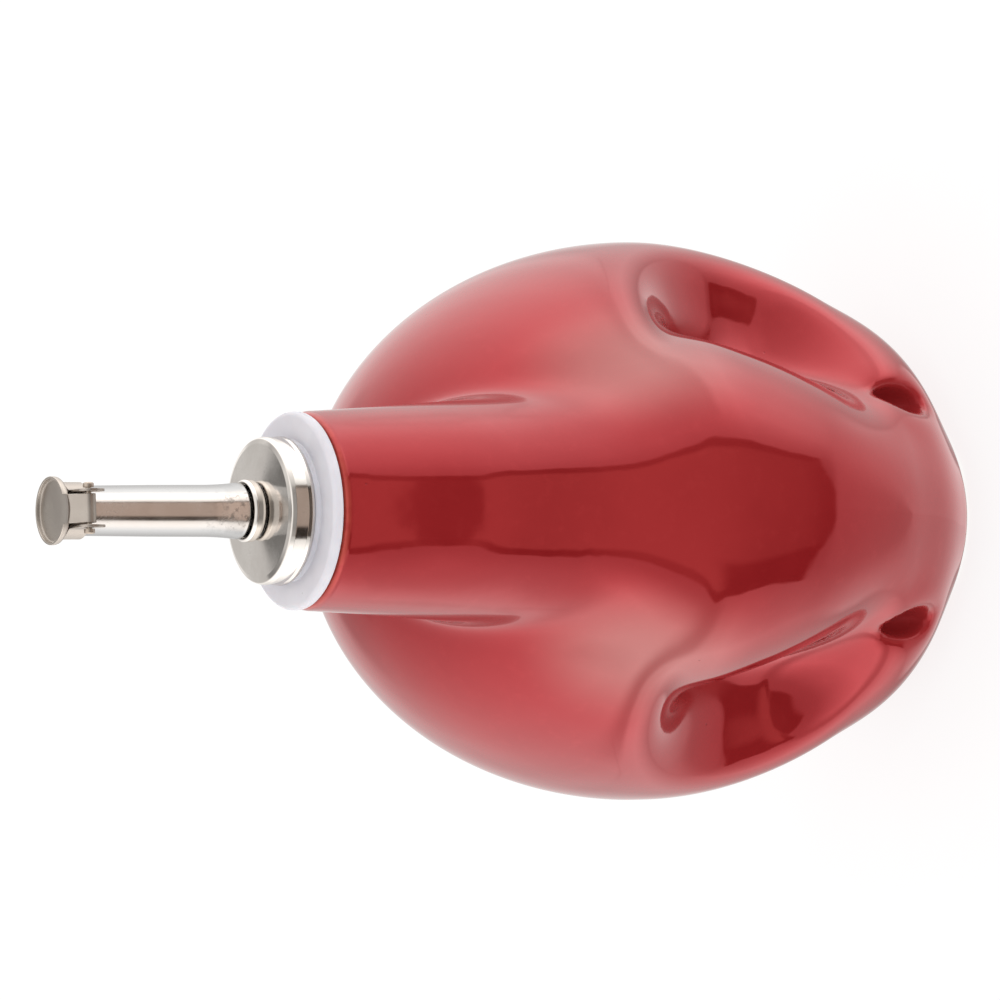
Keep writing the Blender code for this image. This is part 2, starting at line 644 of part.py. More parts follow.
# ---- flap lid: shallow dish over the tube, strap down to a knuckle on the pin -----
def strap_bmesh():
    """Leaves the dish at floor level, slopes to the front and curls round the pin."""
    start_z = (LID_BASE_Z + LID_FLOOR_Z) / 2
    curl_r = KNUCKLE_BORE + STRAP_T / 2
    bend_y, bend_z = NECK_Y - STRAP_BEND, start_z    # where the two straight runs would meet
    dy, dz = bend_y - PIN_Y, bend_z - PIN_Z
    touch = math.atan2(dz, dy) + math.acos(curl_r / math.hypot(dy, dz))
    slope_y, slope_z = -math.sin(touch), math.cos(touch)    # direction down the slope

    path = [(NECK_Y - STRAP_ROOT, start_z)]
    for t in (0.0, 0.25, 0.5, 0.75, 1.0):
        before, after = BEND_REACH * (1 - t) ** 2, BEND_REACH * t ** 2
        path.append((bend_y + before + after * slope_y, bend_z + after * slope_z))
    for degrees in range(0, 253, 18):
        a = touch + math.radians(degrees)
        path.append((PIN_Y + curl_r * math.cos(a), PIN_Z + curl_r * math.sin(a)))

    stations = []
    for i, (y, z) in enumerate(path):
        y0, z0 = path[max(i - 1, 0)]
        y1, z1 = path[min(i + 1, len(path) - 1)]
        ty, tz = y1 - y0, z1 - z0
        length = math.hypot(ty, tz)
        ny, nz = -tz / length * STRAP_T / 2, ty / length * STRAP_T / 2
        stations.append([(-STRAP_W, y + ny, z + nz), (STRAP_W, y + ny, z + nz),
                         (STRAP_W, y - ny, z - nz), (-STRAP_W, y - ny, z - nz)])
    return sweep(stations)


def notch_bmesh():
    """Box that stops the raised rim at both edges of the strap."""
    size = (2 * STRAP_W + 0.1, 2.4, 2.0)
    middle = (0.0, NECK_Y - LID_R + 0.3, LID_FLOOR_Z + 1.02)
    bm = bmesh.new()
    bmesh.ops.create_cube(bm, size=1.0)
    for v in bm.verts:
        v.co = [(m + c * s) * MM for m, c, s in zip(middle, v.co, size)]
    return bm


def build_lid(mat):
    profile = [
        (LID_R - 0.35, LID_BASE_Z), (LID_R - 0.05, LID_BASE_Z + 0.3), (LID_R, LID_RIM_Z - 0.1),
        (LID_R - 0.12, LID_RIM_Z), (LID_R - 0.38, LID_RIM_Z), (LID_R - 0.5, LID_FLOOR_Z + 0.25),
        (LID_R - 0.8, LID_FLOOR_Z),
    ]
    lid = place("flap_lid", upright(profile, 40), mat)
    combine(lid, strap_bmesh(), "UNION")
    combine(lid, notch_bmesh(), "DIFFERENCE")
    # the lid's origin lies on the hinge axis
    hinge = (0.0, PIN_Y * MM, PIN_Z * MM)
    for v in lid.data.vertices:
        v.co = [c - h for c, h in zip(v.co, hinge)]
    lid.location = hinge


glaze = material("red_glaze", rgb=(0.32, 0.022, 0.02), roughness=0.14, metallic=0.0)
silicone = material("white_silicone", rgb=(0.78, 0.76, 0.74), roughness=0.55, metallic=0.0)
steel = material("polished_steel", rgb=(0.62, 0.60, 0.57), roughness=0.22, metallic=1.0)
satin = material("satin_steel", rgb=(0.50, 0.48, 0.45), roughness=0.42, metallic=1.0)

place("ceramic_body", body_bmesh(), glaze, BODY_SHARP_DEG)
build_stopper(silicone)
build_vent(satin)
build_tube(steel)
build_retaining_ring(satin)
build_cap(steel)
build_collar(steel)
build_clip(satin)
build_pin(satin)
build_lid(satin)
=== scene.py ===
"""Glazed oil cruet with a steel pourer and a hinged flap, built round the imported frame.

It stands on z = 0 with its neck near the front. Front is -Y, right is +X, up is +Z.
Shapes are in millimetres and each finished mesh is scaled once, by MM. Materials are in metres.
"""

import math

import bmesh
import bpy
import numpy as np
from mathutils import Matrix, Vector


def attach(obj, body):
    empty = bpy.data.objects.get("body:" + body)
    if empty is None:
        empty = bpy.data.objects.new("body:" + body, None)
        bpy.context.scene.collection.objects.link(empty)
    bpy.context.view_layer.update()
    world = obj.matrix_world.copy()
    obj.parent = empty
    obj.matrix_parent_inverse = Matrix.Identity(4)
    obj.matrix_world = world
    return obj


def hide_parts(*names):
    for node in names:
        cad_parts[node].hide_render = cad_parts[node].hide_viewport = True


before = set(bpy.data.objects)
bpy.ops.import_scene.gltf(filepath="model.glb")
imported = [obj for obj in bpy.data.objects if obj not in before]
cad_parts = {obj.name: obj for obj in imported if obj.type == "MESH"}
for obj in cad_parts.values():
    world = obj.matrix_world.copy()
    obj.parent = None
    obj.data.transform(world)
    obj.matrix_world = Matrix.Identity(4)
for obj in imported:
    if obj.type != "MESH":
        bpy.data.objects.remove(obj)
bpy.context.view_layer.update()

MM = 0.001

# ---------------------------------------------------------------- body sizes
BELLY_Y = 1.75
NECK_Y = BELLY_Y - 28.0
NECK_C = (0.0, NECK_Y)
LIP_Z = 139.0
BELLY_Z = 55.5
BELLY_RX, BELLY_RY, BELLY_RZ = 51.7, 50.7, 63.0

# The spine is the upright column that runs up the front into the neck.
# Columns: z, half width, y of its front, y of its axis; both y from the belly's middle.
SPINE = np.array([
    (-12, 15.5, -22.0, -8), (0, 16.6, -28.5, -10), (12, 17.2, -37.5, -16),
    (22, 19.9, -44.5, -21), (35, 24.6, -50.5, -25), (50, 29.5, -53.5, -27),
    (64, 32.0, -54.0, -28), (76, 27.5, -53.1, -28), (88, 22.8, -51.7, -28),
    (100, 20.6, -50.3, -28), (112, 19.4, -49.0, -28), (125, 18.4, -46.8, -28),
    (139, 17.5, -45.0, -28), (160, 17.0, -44.0, -28),
])

# Hollows at both sides of the spine: centre (from the belly's middle), radii, blend width.
GRIP_C, GRIP_R, GRIP_K = (43.0, -49.0, 41.0), (31.3, 36.0, 30.7), 15.0
CREASE_C, CREASE_R, CREASE_K = (31.0, -21.0, 52.0), (2.5, 4.0, 7.0), 7.0
HEEL_C, HEEL_R, HEEL_K = (19.9, -28.2, 15.6), (2.4, 4.2, 5.0), 6.0
HEEL_SWELL = 0.078
FOOT_ROUND = 2.5
WALL = 4.5
NECK_THINNING = 3.4
BORE_R = 12.5
BORE_BOTTOM = 119.0
FOOT_C = (0.0, BELLY_Y - 1.0)
FOOT_FLAT_IN = 18.0
FOOT_DISH = 1.2

# Limits of the finished body
BODY_X = 51.65
BODY_FRONT, BODY_BACK = -52.42, 52.44

# Lattice cells, and sides of the turned rings of the body
OUTER_CELL, OIL_CELL = 1.1, 2.65
BODY_SIDES = 96
# Heights at which the lattice skins are trimmed
SKIN_TOP, SKIN_LOW, OIL_TOP = 128.0, 0.5, 117.5


# ------------------------------------------------------------- distance fields
def smooth_min(a, b, width):
    h = np.maximum(width - np.abs(a - b), 0.0) / width
    return np.minimum(a, b) - h * h * h * width / 6.0


def smooth_max(a, b, width):
    return -smooth_min(-a, -b, width)


def ellipsoid(x, y, z, centre, radii):
    dx, dy, dz = x - centre[0], y - centre[1], z - centre[2]
    rx, ry, rz = radii
    k0 = np.sqrt((dx / rx) ** 2 + (dy / ry) ** 2 + (dz / rz) ** 2 + 1e-12)
    k1 = np.sqrt((dx / rx ** 2) ** 2 + (dy / ry ** 2) ** 2 + (dz / rz ** 2) ** 2 + 1e-12)
    return k0 * (k0 - 1.0) / k1


def curve(z, stations, values):
    """Cubic curve through the values at the stations."""
    m = np.gradient(values, stations)
    i = np.clip(np.searchsorted(stations, z) - 1, 0, len(stations) - 2)
    h = stations[i + 1] - stations[i]
    t = np.clip((z - stations[i]) / h, 0, 1)
    return ((2 * t ** 3 - 3 * t ** 2 + 1) * values[i] + (t ** 3 - 2 * t ** 2 + t) * h * m[i]
            + (-2 * t ** 3 + 3 * t ** 2) * values[i + 1] + (t ** 3 - t ** 2) * h * m[i + 1])


def faired(column, spread=3.0, reach=9):
    """A spine column every millimetre, its bends evened out for smooth reflections."""
    z = np.arange(-11.0, 159.5, 1.0)
    v = curve(z, SPINE[:, 0], SPINE[:, column])
    kernel = np.exp(-0.5 * (np.arange(-reach, reach + 1) / spread) ** 2)
    padded = np.concatenate([v[0] + (v[1] - v[0]) * np.arange(-reach, 0), v,
                             v[-1] + (v[-1] - v[-2]) * np.arange(1, reach + 1)])
    return z, np.convolve(padded, kernel / kernel.sum(), "valid")


SPINE_WIDTH, SPINE_FRONT, SPINE_AXIS = faired(1), faired(2), faired(3)


def ease(t):
    t = np.clip(t, 0, 1)
    return t * t * (3 - 2 * t)


def vessel(p, inset=0.0):
    """Outer skin at inset 0; the oil space with inset = wall thickness."""
    x, y, z = p[..., 0], p[..., 1] - BELLY_Y, p[..., 2]
    abs_x = np.abs(x)

    def hollow(centre, radii):
        return ellipsoid(abs_x, y, z, centre, tuple(r + inset for r in radii))

    swell = 1 + HEEL_SWELL * ease((20.0 - z) / 18.0)
    belly = ellipsoid(x / swell, y / swell, z, (0, 0, BELLY_Z),
                      (BELLY_RX - inset, BELLY_RY - inset, BELLY_RZ - inset))
    belly = smooth_max(belly, -hollow(GRIP_C, GRIP_R), GRIP_K)
    thin = inset + (NECK_THINNING * ease((z - 84.0) / 30.0) if inset > 0 else 0.0)
    rx = curve(z, *SPINE_WIDTH) - thin
    axis_y = curve(z, *SPINE_AXIS)
    ry = axis_y - curve(z, *SPINE_FRONT) - thin
    if inset > 0:
        bore = ease((z - 100.0) / 16.0)
        rx = rx * (1 - bore) + BORE_R * bore
        ry = ry * (1 - bore) + BORE_R * bore
    k0 = np.sqrt((x / rx) ** 2 + ((y - axis_y) / ry) ** 2 + 1e-9)
    k1 = np.sqrt((x / rx ** 2) ** 2 + ((y - axis_y) / ry ** 2) ** 2 + 1e-12)
    spine = 0.95 * k0 * (k0 - 1) / k1
    body = smooth_min(belly, spine, 7.0 - 2.0 * ease((z - 60.0) / 30.0))
    pits = smooth_min(hollow(CREASE_C, CREASE_R), hollow(HEEL_C, HEEL_R), HEEL_K)
    body = smooth_max(body, -pits, CREASE_K)
    return smooth_max(body, -z + (inset + 1.0 if inset > 0 else 0.0), FOOT_ROUND)


def oil_space(p):
    return vessel(p, WALL)


def slope(field, p, h=0.04):
    grad = np.empty_like(p)
    for i in range(3):
        d = np.zeros(3)
        d[i] = h
        grad[:, i] = (field(p + d) - field(p - d)) / (2 * h)
    return grad


def settle(field, p, steps=3):
    """Move points onto the zero surface."""
    for _ in range(steps):
        grad = slope(field, p)
        p = p - grad * (field(p) / np.maximum((grad * grad).sum(1), 0.05))[:, None]
    return p


def lattice_quads(field, low, high, cell):
    """Points and quads of the zero surface of a field on a regular lattice."""
    n = [int(math.ceil((high[i] - low[i]) / cell)) for i in range(3)]
    axes = [low[i] + cell * np.arange(n[i] + 1) for i in range(3)]
    values = field(np.stack(np.meshgrid(*axes, indexing="ij"), -1))
    shape = tuple(n)
    total = np.zeros(shape + (3,))
    count = np.zeros(shape)
    quads = []
    ident = np.arange(n[0] * n[1] * n[2]).reshape(shape)
    for a in range(3):
        b, c = (a + 1) % 3, (a + 2) % 3
        near = [slice(None)] * 3
        far = [slice(None)] * 3
        near[a] = slice(0, -1)
        far[a] = slice(1, None)
        v0, v1 = values[tuple(near)], values[tuple(far)]
        idx = np.argwhere((v0 < 0) != (v1 < 0))
        inside = (idx[:, b] > 0) & (idx[:, b] < n[b]) & (idx[:, c] > 0) & (idx[:, c] < n[c])
        idx = idx[inside]
        w0, w1 = v0[tuple(idx.T)], v1[tuple(idx.T)]
        crossing = np.stack([axes[i][idx[:, i]] for i in range(3)], 1)
        crossing[:, a] += cell * w0 / (w0 - w1)
        around = []
        for db, dc in ((1, 1), (0, 1), (0, 0), (1, 0)):
            box = idx.copy()
            box[:, b] -= db
            box[:, c] -= dc
            np.add.at(total, tuple(box.T), crossing)
            np.add.at(count, tuple(box.T), 1)
            around.append(ident[tuple(box.T)])
        quad = np.stack(around, 1)
        flip = w0 > 0
        quad[flip] = quad[flip][:, ::-1]
        quads.append(quad)
    quads = np.concatenate(quads)
    used, inverse = np.unique(quads, return_inverse=True)
    points = total.reshape(-1, 3)[used] / count.reshape(-1)[used][:, None]
    return points, inverse.reshape(quads.shape)


def relax(field, points, quads, rounds):
    """Even out the point spacing and keep the points on the surface."""
    e = np.concatenate([quads[:, [i, (i + 1) % 4]] for i in range(4)])
    for _ in range(rounds):
        total = np.zeros_like(points)
        count = np.zeros(len(points))
        np.add.at(total, e[:, 0], points[e[:, 1]])
        np.add.at(count, e[:, 0], 1)
        mean = total / np.maximum(count, 1)[:, None]
        points = settle(field, 0.4 * points + 0.6 * mean, 1)
    return settle(field, points)


def skin_mesh(field, low, high, cell, rounds, inward=False):
    points, quads = lattice_quads(field, low, high, cell)
    points = relax(field, points, quads, rounds)
    mesh = bmesh.new()
    verts = [mesh.verts.new(p) for p in points]
    for quad in quads:
        corners = [verts[int(i)] for i in quad]
        mesh.faces.new(corners[::-1] if inward else corners)
    return mesh


# --------------------------------------------------------------- mesh helpers
def cut(mesh, z, keep_above):
    geom = mesh.verts[:] + mesh.edges[:] + mesh.faces[:]
    bmesh.ops.bisect_plane(mesh, geom=geom, dist=1e-5, plane_co=(0, 0, z), plane_no=(0, 0, 1),
                           clear_inner=keep_above, clear_outer=not keep_above)


def angle_round(vert, centre):
    return math.atan2(vert.co.y - centre[1], vert.co.x - centre[0])


def open_rim(mesh, z, centre):
    """Boundary vertices at height z, sorted by angle round the centre."""
    found = {v for e in mesh.edges
             if e.is_boundary and all(abs(v.co.z - z) < 1e-3 for v in e.verts) for v in e.verts}
    return sorted(found, key=lambda v: angle_round(v, centre))


def press(field, verts, centre):
    """Slide a rim in its own plane until it lies on the surface."""
    p = np.array([v.co[:] for v in verts])
    middle = np.array(centre)
    d = p[:, :2] - middle
    r = np.hypot(d[:, 0], d[:, 1])
    u = d / r[:, None]
    for _ in range(6):
        here = field(np.column_stack([middle + u * r[:, None], p[:, 2]]))
        beyond = field(np.column_stack([middle + u * (r + 0.05)[:, None], p[:, 2]]))
        s = (beyond - here) / 0.05
        r = r - here / np.where(np.abs(s) < 0.2, 0.2, s)
    for v, a, b in zip(verts, u, r):
        v.co.x, v.co.y = centre[0] + a[0] * b, centre[1] + a[1] * b


def zipper(mesh, low, high, centre, out):
    """Triangles between two rims sorted by angle round the same centre."""
    a = [angle_round(v, centre) for v in low]
    b = [angle_round(v, centre) for v in high]
    turn = 2 * math.pi
    j = min(range(len(b)), key=lambda k: abs((b[k] - a[0] + math.pi) % turn - math.pi))
    high = high[j:] + high[:j]
    b0 = a[0] + ((b[j] - a[0] + math.pi) % turn - math.pi)
    b = [b0 + ((v - b[j]) % turn) for v in b[j:] + b[:j]] + [b0 + turn]
    a = a + [a[0] + turn]
    low = low + [low[0]]
    high = high + [high[0]]
    i = j = 0
    n, m = len(a) - 1, len(b) - 1
    while i < n or j < m:
        if j >= m or (i < n and a[i + 1] <= b[j + 1]):
            face = (low[i], low[i + 1], high[j])
            i += 1
        else:
            face = (low[i], high[j + 1], high[j])
            j += 1
        mesh.faces.new(face if out else face[::-1])


def level_ring(mesh, radius, z, sides, centre=NECK_C, start=0.0, shift=0.0):
    """Ring round a vertical axis."""
    angles = [start + 2 * math.pi * (k + shift) / sides for k in range(sides)]
    return [mesh.verts.new((centre[0] + radius * math.cos(a),
                            centre[1] + radius * math.sin(a), z)) for a in angles]


def body_ring(mesh, radius, z, centre):
    """Ring in the vertex order of a sorted rim."""
    return level_ring(mesh, radius, z, BODY_SIDES, centre, start=-math.pi, shift=0.5)


def strip(mesh, low, high, out):
    n = len(low)
    for k in range(n):
        quad = (low[k], low[(k + 1) % n], high[(k + 1) % n], high[k])
        mesh.faces.new(quad if out else quad[::-1])


def strips(mesh, rings, out=True):
    for low, high in zip(rings, rings[1:]):
        strip(mesh, low, high, out)


def capped(mesh, rings):
    strips(mesh, rings)
    mesh.faces.new(rings[0][::-1])
    mesh.faces.new(rings[-1])


def pointed(mesh, first, rings, last, out):
    """Strips between the rings, and a fan to one vertex at either end."""
    strips(mesh, rings, out)
    n = len(rings[0])
    for k in range(n):
        a, b = ((k + 1) % n, k) if out else (k, (k + 1) % n)
        mesh.faces.new((first, rings[0][a], rings[0][b]))
        mesh.faces.new((last, rings[-1][b], rings[-1][a]))


def to_data(name, mesh):
    data = bpy.data.meshes.new(name)
    mesh.to_mesh(data)
    mesh.free()
    return data


def add_object(name, data):
    ob = bpy.data.objects.new(name, data)
    bpy.context.scene.collection.objects.link(ob)
    return ob


def finish_mesh(name, mesh, material, body, normals=None):
    """World millimetres to a finished object that rides on a body."""
    bmesh.ops.recalc_face_normals(mesh, faces=mesh.faces[:])
    for face in mesh.faces:
        face.smooth = True
    data = to_data(name, mesh)
    data.transform(Matrix.Scale(MM, 4))
    data.materials.append(material)
    ob = add_object(name, data)
    if normals is not None:
        data.normals_split_custom_set_from_vertices([tuple(n) for n in normals])
    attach(ob, body)
    return ob


def register(ob, cad_piece):
    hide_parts(cad_piece)


def rounded(points, steps=5):
    """Closed profile of (r, z, corner radius) with its corners turned into arcs.

    Returns rows of (r, z, normal r, normal z)."""
    rows = []
    n = len(points)
    area = sum(points[i][0] * points[(i + 1) % n][1] - points[(i + 1) % n][0] * points[i][1]
               for i in range(n))
    sign = 1.0 if area > 0 else -1.0
    for i in range(n):
        corner = np.array(points[i][:2], float)
        before = np.array(points[i - 1][:2], float) - corner
        after = np.array(points[(i + 1) % n][:2], float) - corner
        len_a, len_b = np.linalg.norm(before), np.linalg.norm(after)
        ua, ub = before / len_a, after / len_b
        na = sign * np.array([-ua[1], ua[0]])
        nb = sign * np.array([ub[1], -ub[0]])
        half = 0.5 * math.acos(float(np.clip(ua @ ub, -1, 1)))
        turn = math.pi - 2 * half
        if turn < 0.02:
            normal = na + nb
            rows.append((*corner, *(normal / np.linalg.norm(normal))))
            continue
        radius = min(points[i][2], 0.48 * min(len_a, len_b) * math.tan(half))
        start = corner + ua * (radius / math.tan(half))
        centre = corner + (ua + ub) / np.linalg.norm(ua + ub) * radius / math.sin(half)
        plus = np.linalg.norm(centre + na * radius - start)
        minus = np.linalg.norm(centre - na * radius - start)
        reach = radius if plus < minus else -radius
        k = max(2, int(math.ceil(steps * turn / (math.pi / 2))) + 1)
        for j in range(k + 1):
            w = j / k
            normal = (na * math.sin((1 - w) * turn) / math.sin(turn)
                      + nb * math.sin(w * turn) / math.sin(turn))
            normal = normal / np.linalg.norm(normal)
            rows.append((*(centre + normal * reach), *normal))
    return rows


def turned(name, cad_piece, points, material, body, sides, x=0.0):
    """Closed turned ring of a rounded profile, with exact normals."""
    mesh = bmesh.new()
    rings, normals = [], []
    for r, z, nr, nz in rounded(points):
        rings.append(level_ring(mesh, r, z, sides, (x, NECK_Y)))
        for k in range(sides):
            a = 2 * math.pi * k / sides
            normals.append((nr * math.cos(a), nr * math.sin(a), nz))
    strips(mesh, rings + rings[:1])
    register(finish_mesh(name, mesh, material, body, normals), cad_piece)


# --------------------------------------------------------------- node helpers
class Signal:
    """A node output that takes part in arithmetic; each operation adds a Math node."""

    def __init__(self, net, socket):
        self.net = net
        self.socket = socket

    def __add__(self, other):
        return self.net.math("ADD", self, other)

    def __sub__(self, other):
        return self.net.math("SUBTRACT", self, other)

    def __rsub__(self, other):
        return self.net.math("SUBTRACT", other, self)

    def __mul__(self, other):
        return self.net.math("MULTIPLY", self, other)

    def __truediv__(self, other):
        return self.net.math("DIVIDE", self, other)

    def __abs__(self):
        return self.net.math("ABSOLUTE", self)

    def step(self, over, to=(0.0, 1.0), kind="SMOOTHSTEP"):
        """Goes from to[0] at over[0] to to[1] at over[1]; over may fall."""
        if over[0] >= over[1]:
            over, to = over[::-1], to[::-1]
        limits = dict(enumerate((*over, *to), 1))
        return self.net.value("ShaderNodeMapRange", {0: self, **limits},
                              interpolation_type=kind, clamp=True)

    def band(self, over, soft):
        low, high = over
        return self.step(over=(low - soft, low + soft)) * self.step(over=(high + soft, high - soft))

    def levels(self, stops, over, top=4):
        """Piecewise level; stops are (value, level), level up to top."""
        low, high = over
        node = self.net.node("ShaderNodeValToRGB", {0: self.step(over=over, kind="LINEAR")})
        ramp = node.color_ramp
        ramp.interpolation = "LINEAR"
        while len(ramp.elements) < len(stops):
            ramp.elements.new(0.5)
        # All elements start at 0, then take their places in order
        for element in ramp.elements:
            element.position = 0.0
        for i, (value, level) in enumerate(stops):
            ramp.elements[i].position = (value - low) / (high - low)
            ramp.elements[i].color = (level / top, level / top, level / top, 1)
        return Signal(self.net, node.outputs[0]) * float(top)


class Net:
    """Builds the nodes of one tree."""

    def __init__(self, tree):
        self.nodes = tree.nodes
        self.links = tree.links

    def fill(self, node, inputs):
        """Links or sets inputs; colours are given as (red, green, blue)."""
        for key, value in inputs.items():
            socket = node.inputs[key]
            if isinstance(value, Signal):
                self.links.new(value.socket, socket)
            elif socket.type == "RGBA":
                socket.default_value = (*value, 1.0)
            else:
                socket.default_value = value

    def node(self, kind, inputs, **settings):
        made = self.nodes.new(kind)
        for key, value in settings.items():
            setattr(made, key, value)
        self.fill(made, inputs)
        return made

    def value(self, kind, inputs, output=0, **settings):
        return Signal(self, self.node(kind, inputs, **settings).outputs[output])

    def math(self, operation, a, b=0.0):
        return self.value("ShaderNodeMath", {0: a, 1: b, 2: 0.0}, operation=operation)

    def mix(self, a, b, share):
        """Number that goes from a to b as share goes from 0 to 1."""
        return self.value("ShaderNodeMix", {0: share, 2: a, 3: b}, data_type="FLOAT")

    def blend(self, a, b, share):
        """Colour that goes from a to b as share goes from 0 to 1."""
        return self.value("ShaderNodeMix", {0: share, 6: a, 7: b}, output=2, data_type="RGBA")

    def coords(self, kind="Object"):
        return self.value("ShaderNodeTexCoord", {}, output=kind)

    def scaled(self, place, scale):
        return self.value("ShaderNodeMapping", {0: place, "Scale": scale})

    def noise(self, place, scale, detail=3.0, rough=0.55):
        inputs = {"Vector": place, "Scale": scale, "Detail": detail, "Roughness": rough}
        return self.value("ShaderNodeTexNoise", inputs, output="Fac")

    def cells(self, place, scale):
        inputs = {"Vector": place, "Scale": scale}
        return self.value("ShaderNodeTexVoronoi", inputs, output="Distance")

    def bump(self, height, strength, distance, **normal):
        inputs = {"Strength": strength, "Distance": distance, "Height": height}
        if normal:
            inputs["Normal"] = normal["normal"]
        return self.value("ShaderNodeBump", inputs)

    def parts(self, place):
        node = self.node("ShaderNodeSeparateXYZ", {0: place})
        return [Signal(self, node.outputs[i]) for i in range(3)]

    def distance(self, place, centre, radii):
        """Distance from a centre in units of the radii; centre and radii in millimetres."""
        dx, dy, dz = [(p - c * MM) / (r * MM) for p, c, r in zip(place, centre, radii)]
        return self.math("SQRT", dx * dx + (dy * dy + dz * dz))


def shader(name):
    material = bpy.data.materials.new(name)
    material.use_nodes = True
    tree = material.node_tree
    return material, Net(tree), tree.nodes["Principled BSDF"]


# ------------------------------------------------------------------ materials
def glaze_material():
    """Glossy red glaze with pinholes and faint streaks; bare clay under the foot."""
    red_deep, red_clear = (0.240, 0.0105, 0.0125), (0.280, 0.0145, 0.0165)
    red_fleck, red_pinhole = (0.310, 0.0210, 0.0225), (0.10, 0.006, 0.006)
    # red_pit_painted_light is a painted lightening for the shaded pits beside the spine
    red_thin, red_pit_painted_light = (0.42, 0.075, 0.045), (0.360, 0.0300, 0.0320)
    clay_dark, clay_light = (0.56, 0.47, 0.37), (0.73, 0.66, 0.56)
    shine_red, shine_painted_pale, shine_clay = (1.0, 0.185, 0.205), (1.0, 0.60, 0.57), (1, 1, 1)
    # Coloured zones: centre and radii, mm
    crease_x, crease_y, crease_z = CREASE_C
    pit_zones = ((HEEL_C, (4.6, 8.0, 7.5)),
                 ((crease_x, crease_y, crease_z + 1.0), (6.5, 8.0, 10.0)))
    shoulder_c, shoulder_r = (25.0, -36.0, 76.0), (14.0, 17.0, 22.0)

    material, net, principled = shader("red_glaze_fine")
    place = net.coords()
    x, y, z = net.parts(place)
    cloud = net.noise(place, scale=26.0, detail=4.0)
    fine = net.noise(place, scale=420.0)
    streak = net.noise(net.scaled(place, (260.0, 260.0, 22.0)), scale=1.0, rough=0.6)
    red = net.blend(red_deep, red_clear, cloud.step(over=(0.35, 0.65)))
    red = net.blend(red, red_fleck, share=fine.step(over=(0.52, 0.80)) * 0.35)
    # pinholes and dust caught in the firing
    pinhole = net.cells(place, scale=170.0).step(over=(0.045, 0.015))
    rare = net.noise(place, scale=55.0, detail=1.0).step(over=(0.60, 0.66))
    pinhole = pinhole * rare
    red = net.blend(red, red_pinhole, share=pinhole * 0.7)
    # the glaze thins and warms on the lip and just above the foot
    thin = z.step(over=(0.1376, 0.1388)) + z.step(over=(0.0022, 0.0008))
    red = net.blend(red, red_thin, share=thin * fine.step(over=(0.30, 0.62), to=(0.35, 0.8)))
    # painted light: the pits beside the spine get a lighter red to offset their shade, and the
    # glaze there is rougher and less reflective
    side_place = (abs(x), y, z)
    pit = 0.0
    for (px, py, pz), radii in pit_zones:
        away = net.distance(side_place, (px, py + BELLY_Y, pz), radii)
        pit = net.math("MAXIMUM", pit, away.step(over=(1.25, 0.55)))
    red = net.blend(red, red_pit_painted_light, pit)
    # painted highlight: the reflection tint is made paler in a fixed zone on the shoulders of the
    # spine
    pale = net.distance(side_place, shoulder_c, shoulder_r).step(over=(1.2, 0.1))
    # bare clay under the foot, with an uneven edge
    edge = z + (net.noise(place, scale=150.0) - 0.5) * 0.0012
    clay = edge.step(over=(0.00065, 0.00025))
    grit = net.noise(place, scale=900.0, detail=4.0, rough=0.7)
    clay_colour = net.blend(clay_dark, clay_light, grit.step(over=(0.35, 0.65)))
    worn = net.noise(net.scaled(place, (900.0, 900.0, 90.0)), scale=1.0, detail=2.0)
    worn = worn.step(over=(0.58, 0.75))
    rough = cloud.step(over=(0.3, 0.7), to=(0.045, 0.075)) + (worn * 0.02 + pinhole * 0.3)
    height = cloud * 1.0 + (streak * 0.05 + pinhole * -0.25)
    waves = net.bump(height, strength=0.35, distance=0.00045)
    net.fill(principled, {
        "Base Color": net.blend(red, clay_colour, clay),
        "Roughness": net.mix(rough + pit * 0.22, 0.78, share=clay),
        "IOR": net.mix(net.mix(2.13, 1.40, share=pit), 1.45, share=clay),
        "Specular Tint": net.blend(net.blend(shine_red, shine_painted_pale, pale), shine_clay, clay),
        "Normal": net.bump(grit * clay, strength=0.6, distance=0.0003, normal=waves),
    })
    return material


def silicone_material():
    """White silicone with a little caught dust."""
    shade, light, dust_colour = (0.70, 0.685, 0.735), (0.77, 0.755, 0.80), (0.45, 0.42, 0.42)
    material, net, principled = shader("white_silicone_fine")
    place = net.coords()
    cloud = net.noise(place, scale=90.0)
    dust = net.cells(place, scale=420.0).step(over=(0.10, 0.03))
    dust = dust * net.noise(place, scale=200.0, detail=1.0).step(over=(0.60, 0.68))
    colour = net.blend(shade, light, cloud.step(over=(0.35, 0.65)))
    grain = net.noise(place, scale=1500.0)
    net.fill(principled, {
        "Base Color": net.blend(colour, dust_colour, share=dust * 0.5),
        "Roughness": net.noise(place, scale=300.0).step(over=(0.3, 0.7), to=(0.40, 0.55)),
        "Subsurface Weight": 0.25,
        "Subsurface Radius": (0.0022, 0.0016, 0.0014),
        "Subsurface Scale": 1.0,
        "Normal": net.bump(grain, strength=0.12, distance=0.00005),
    })
    return material


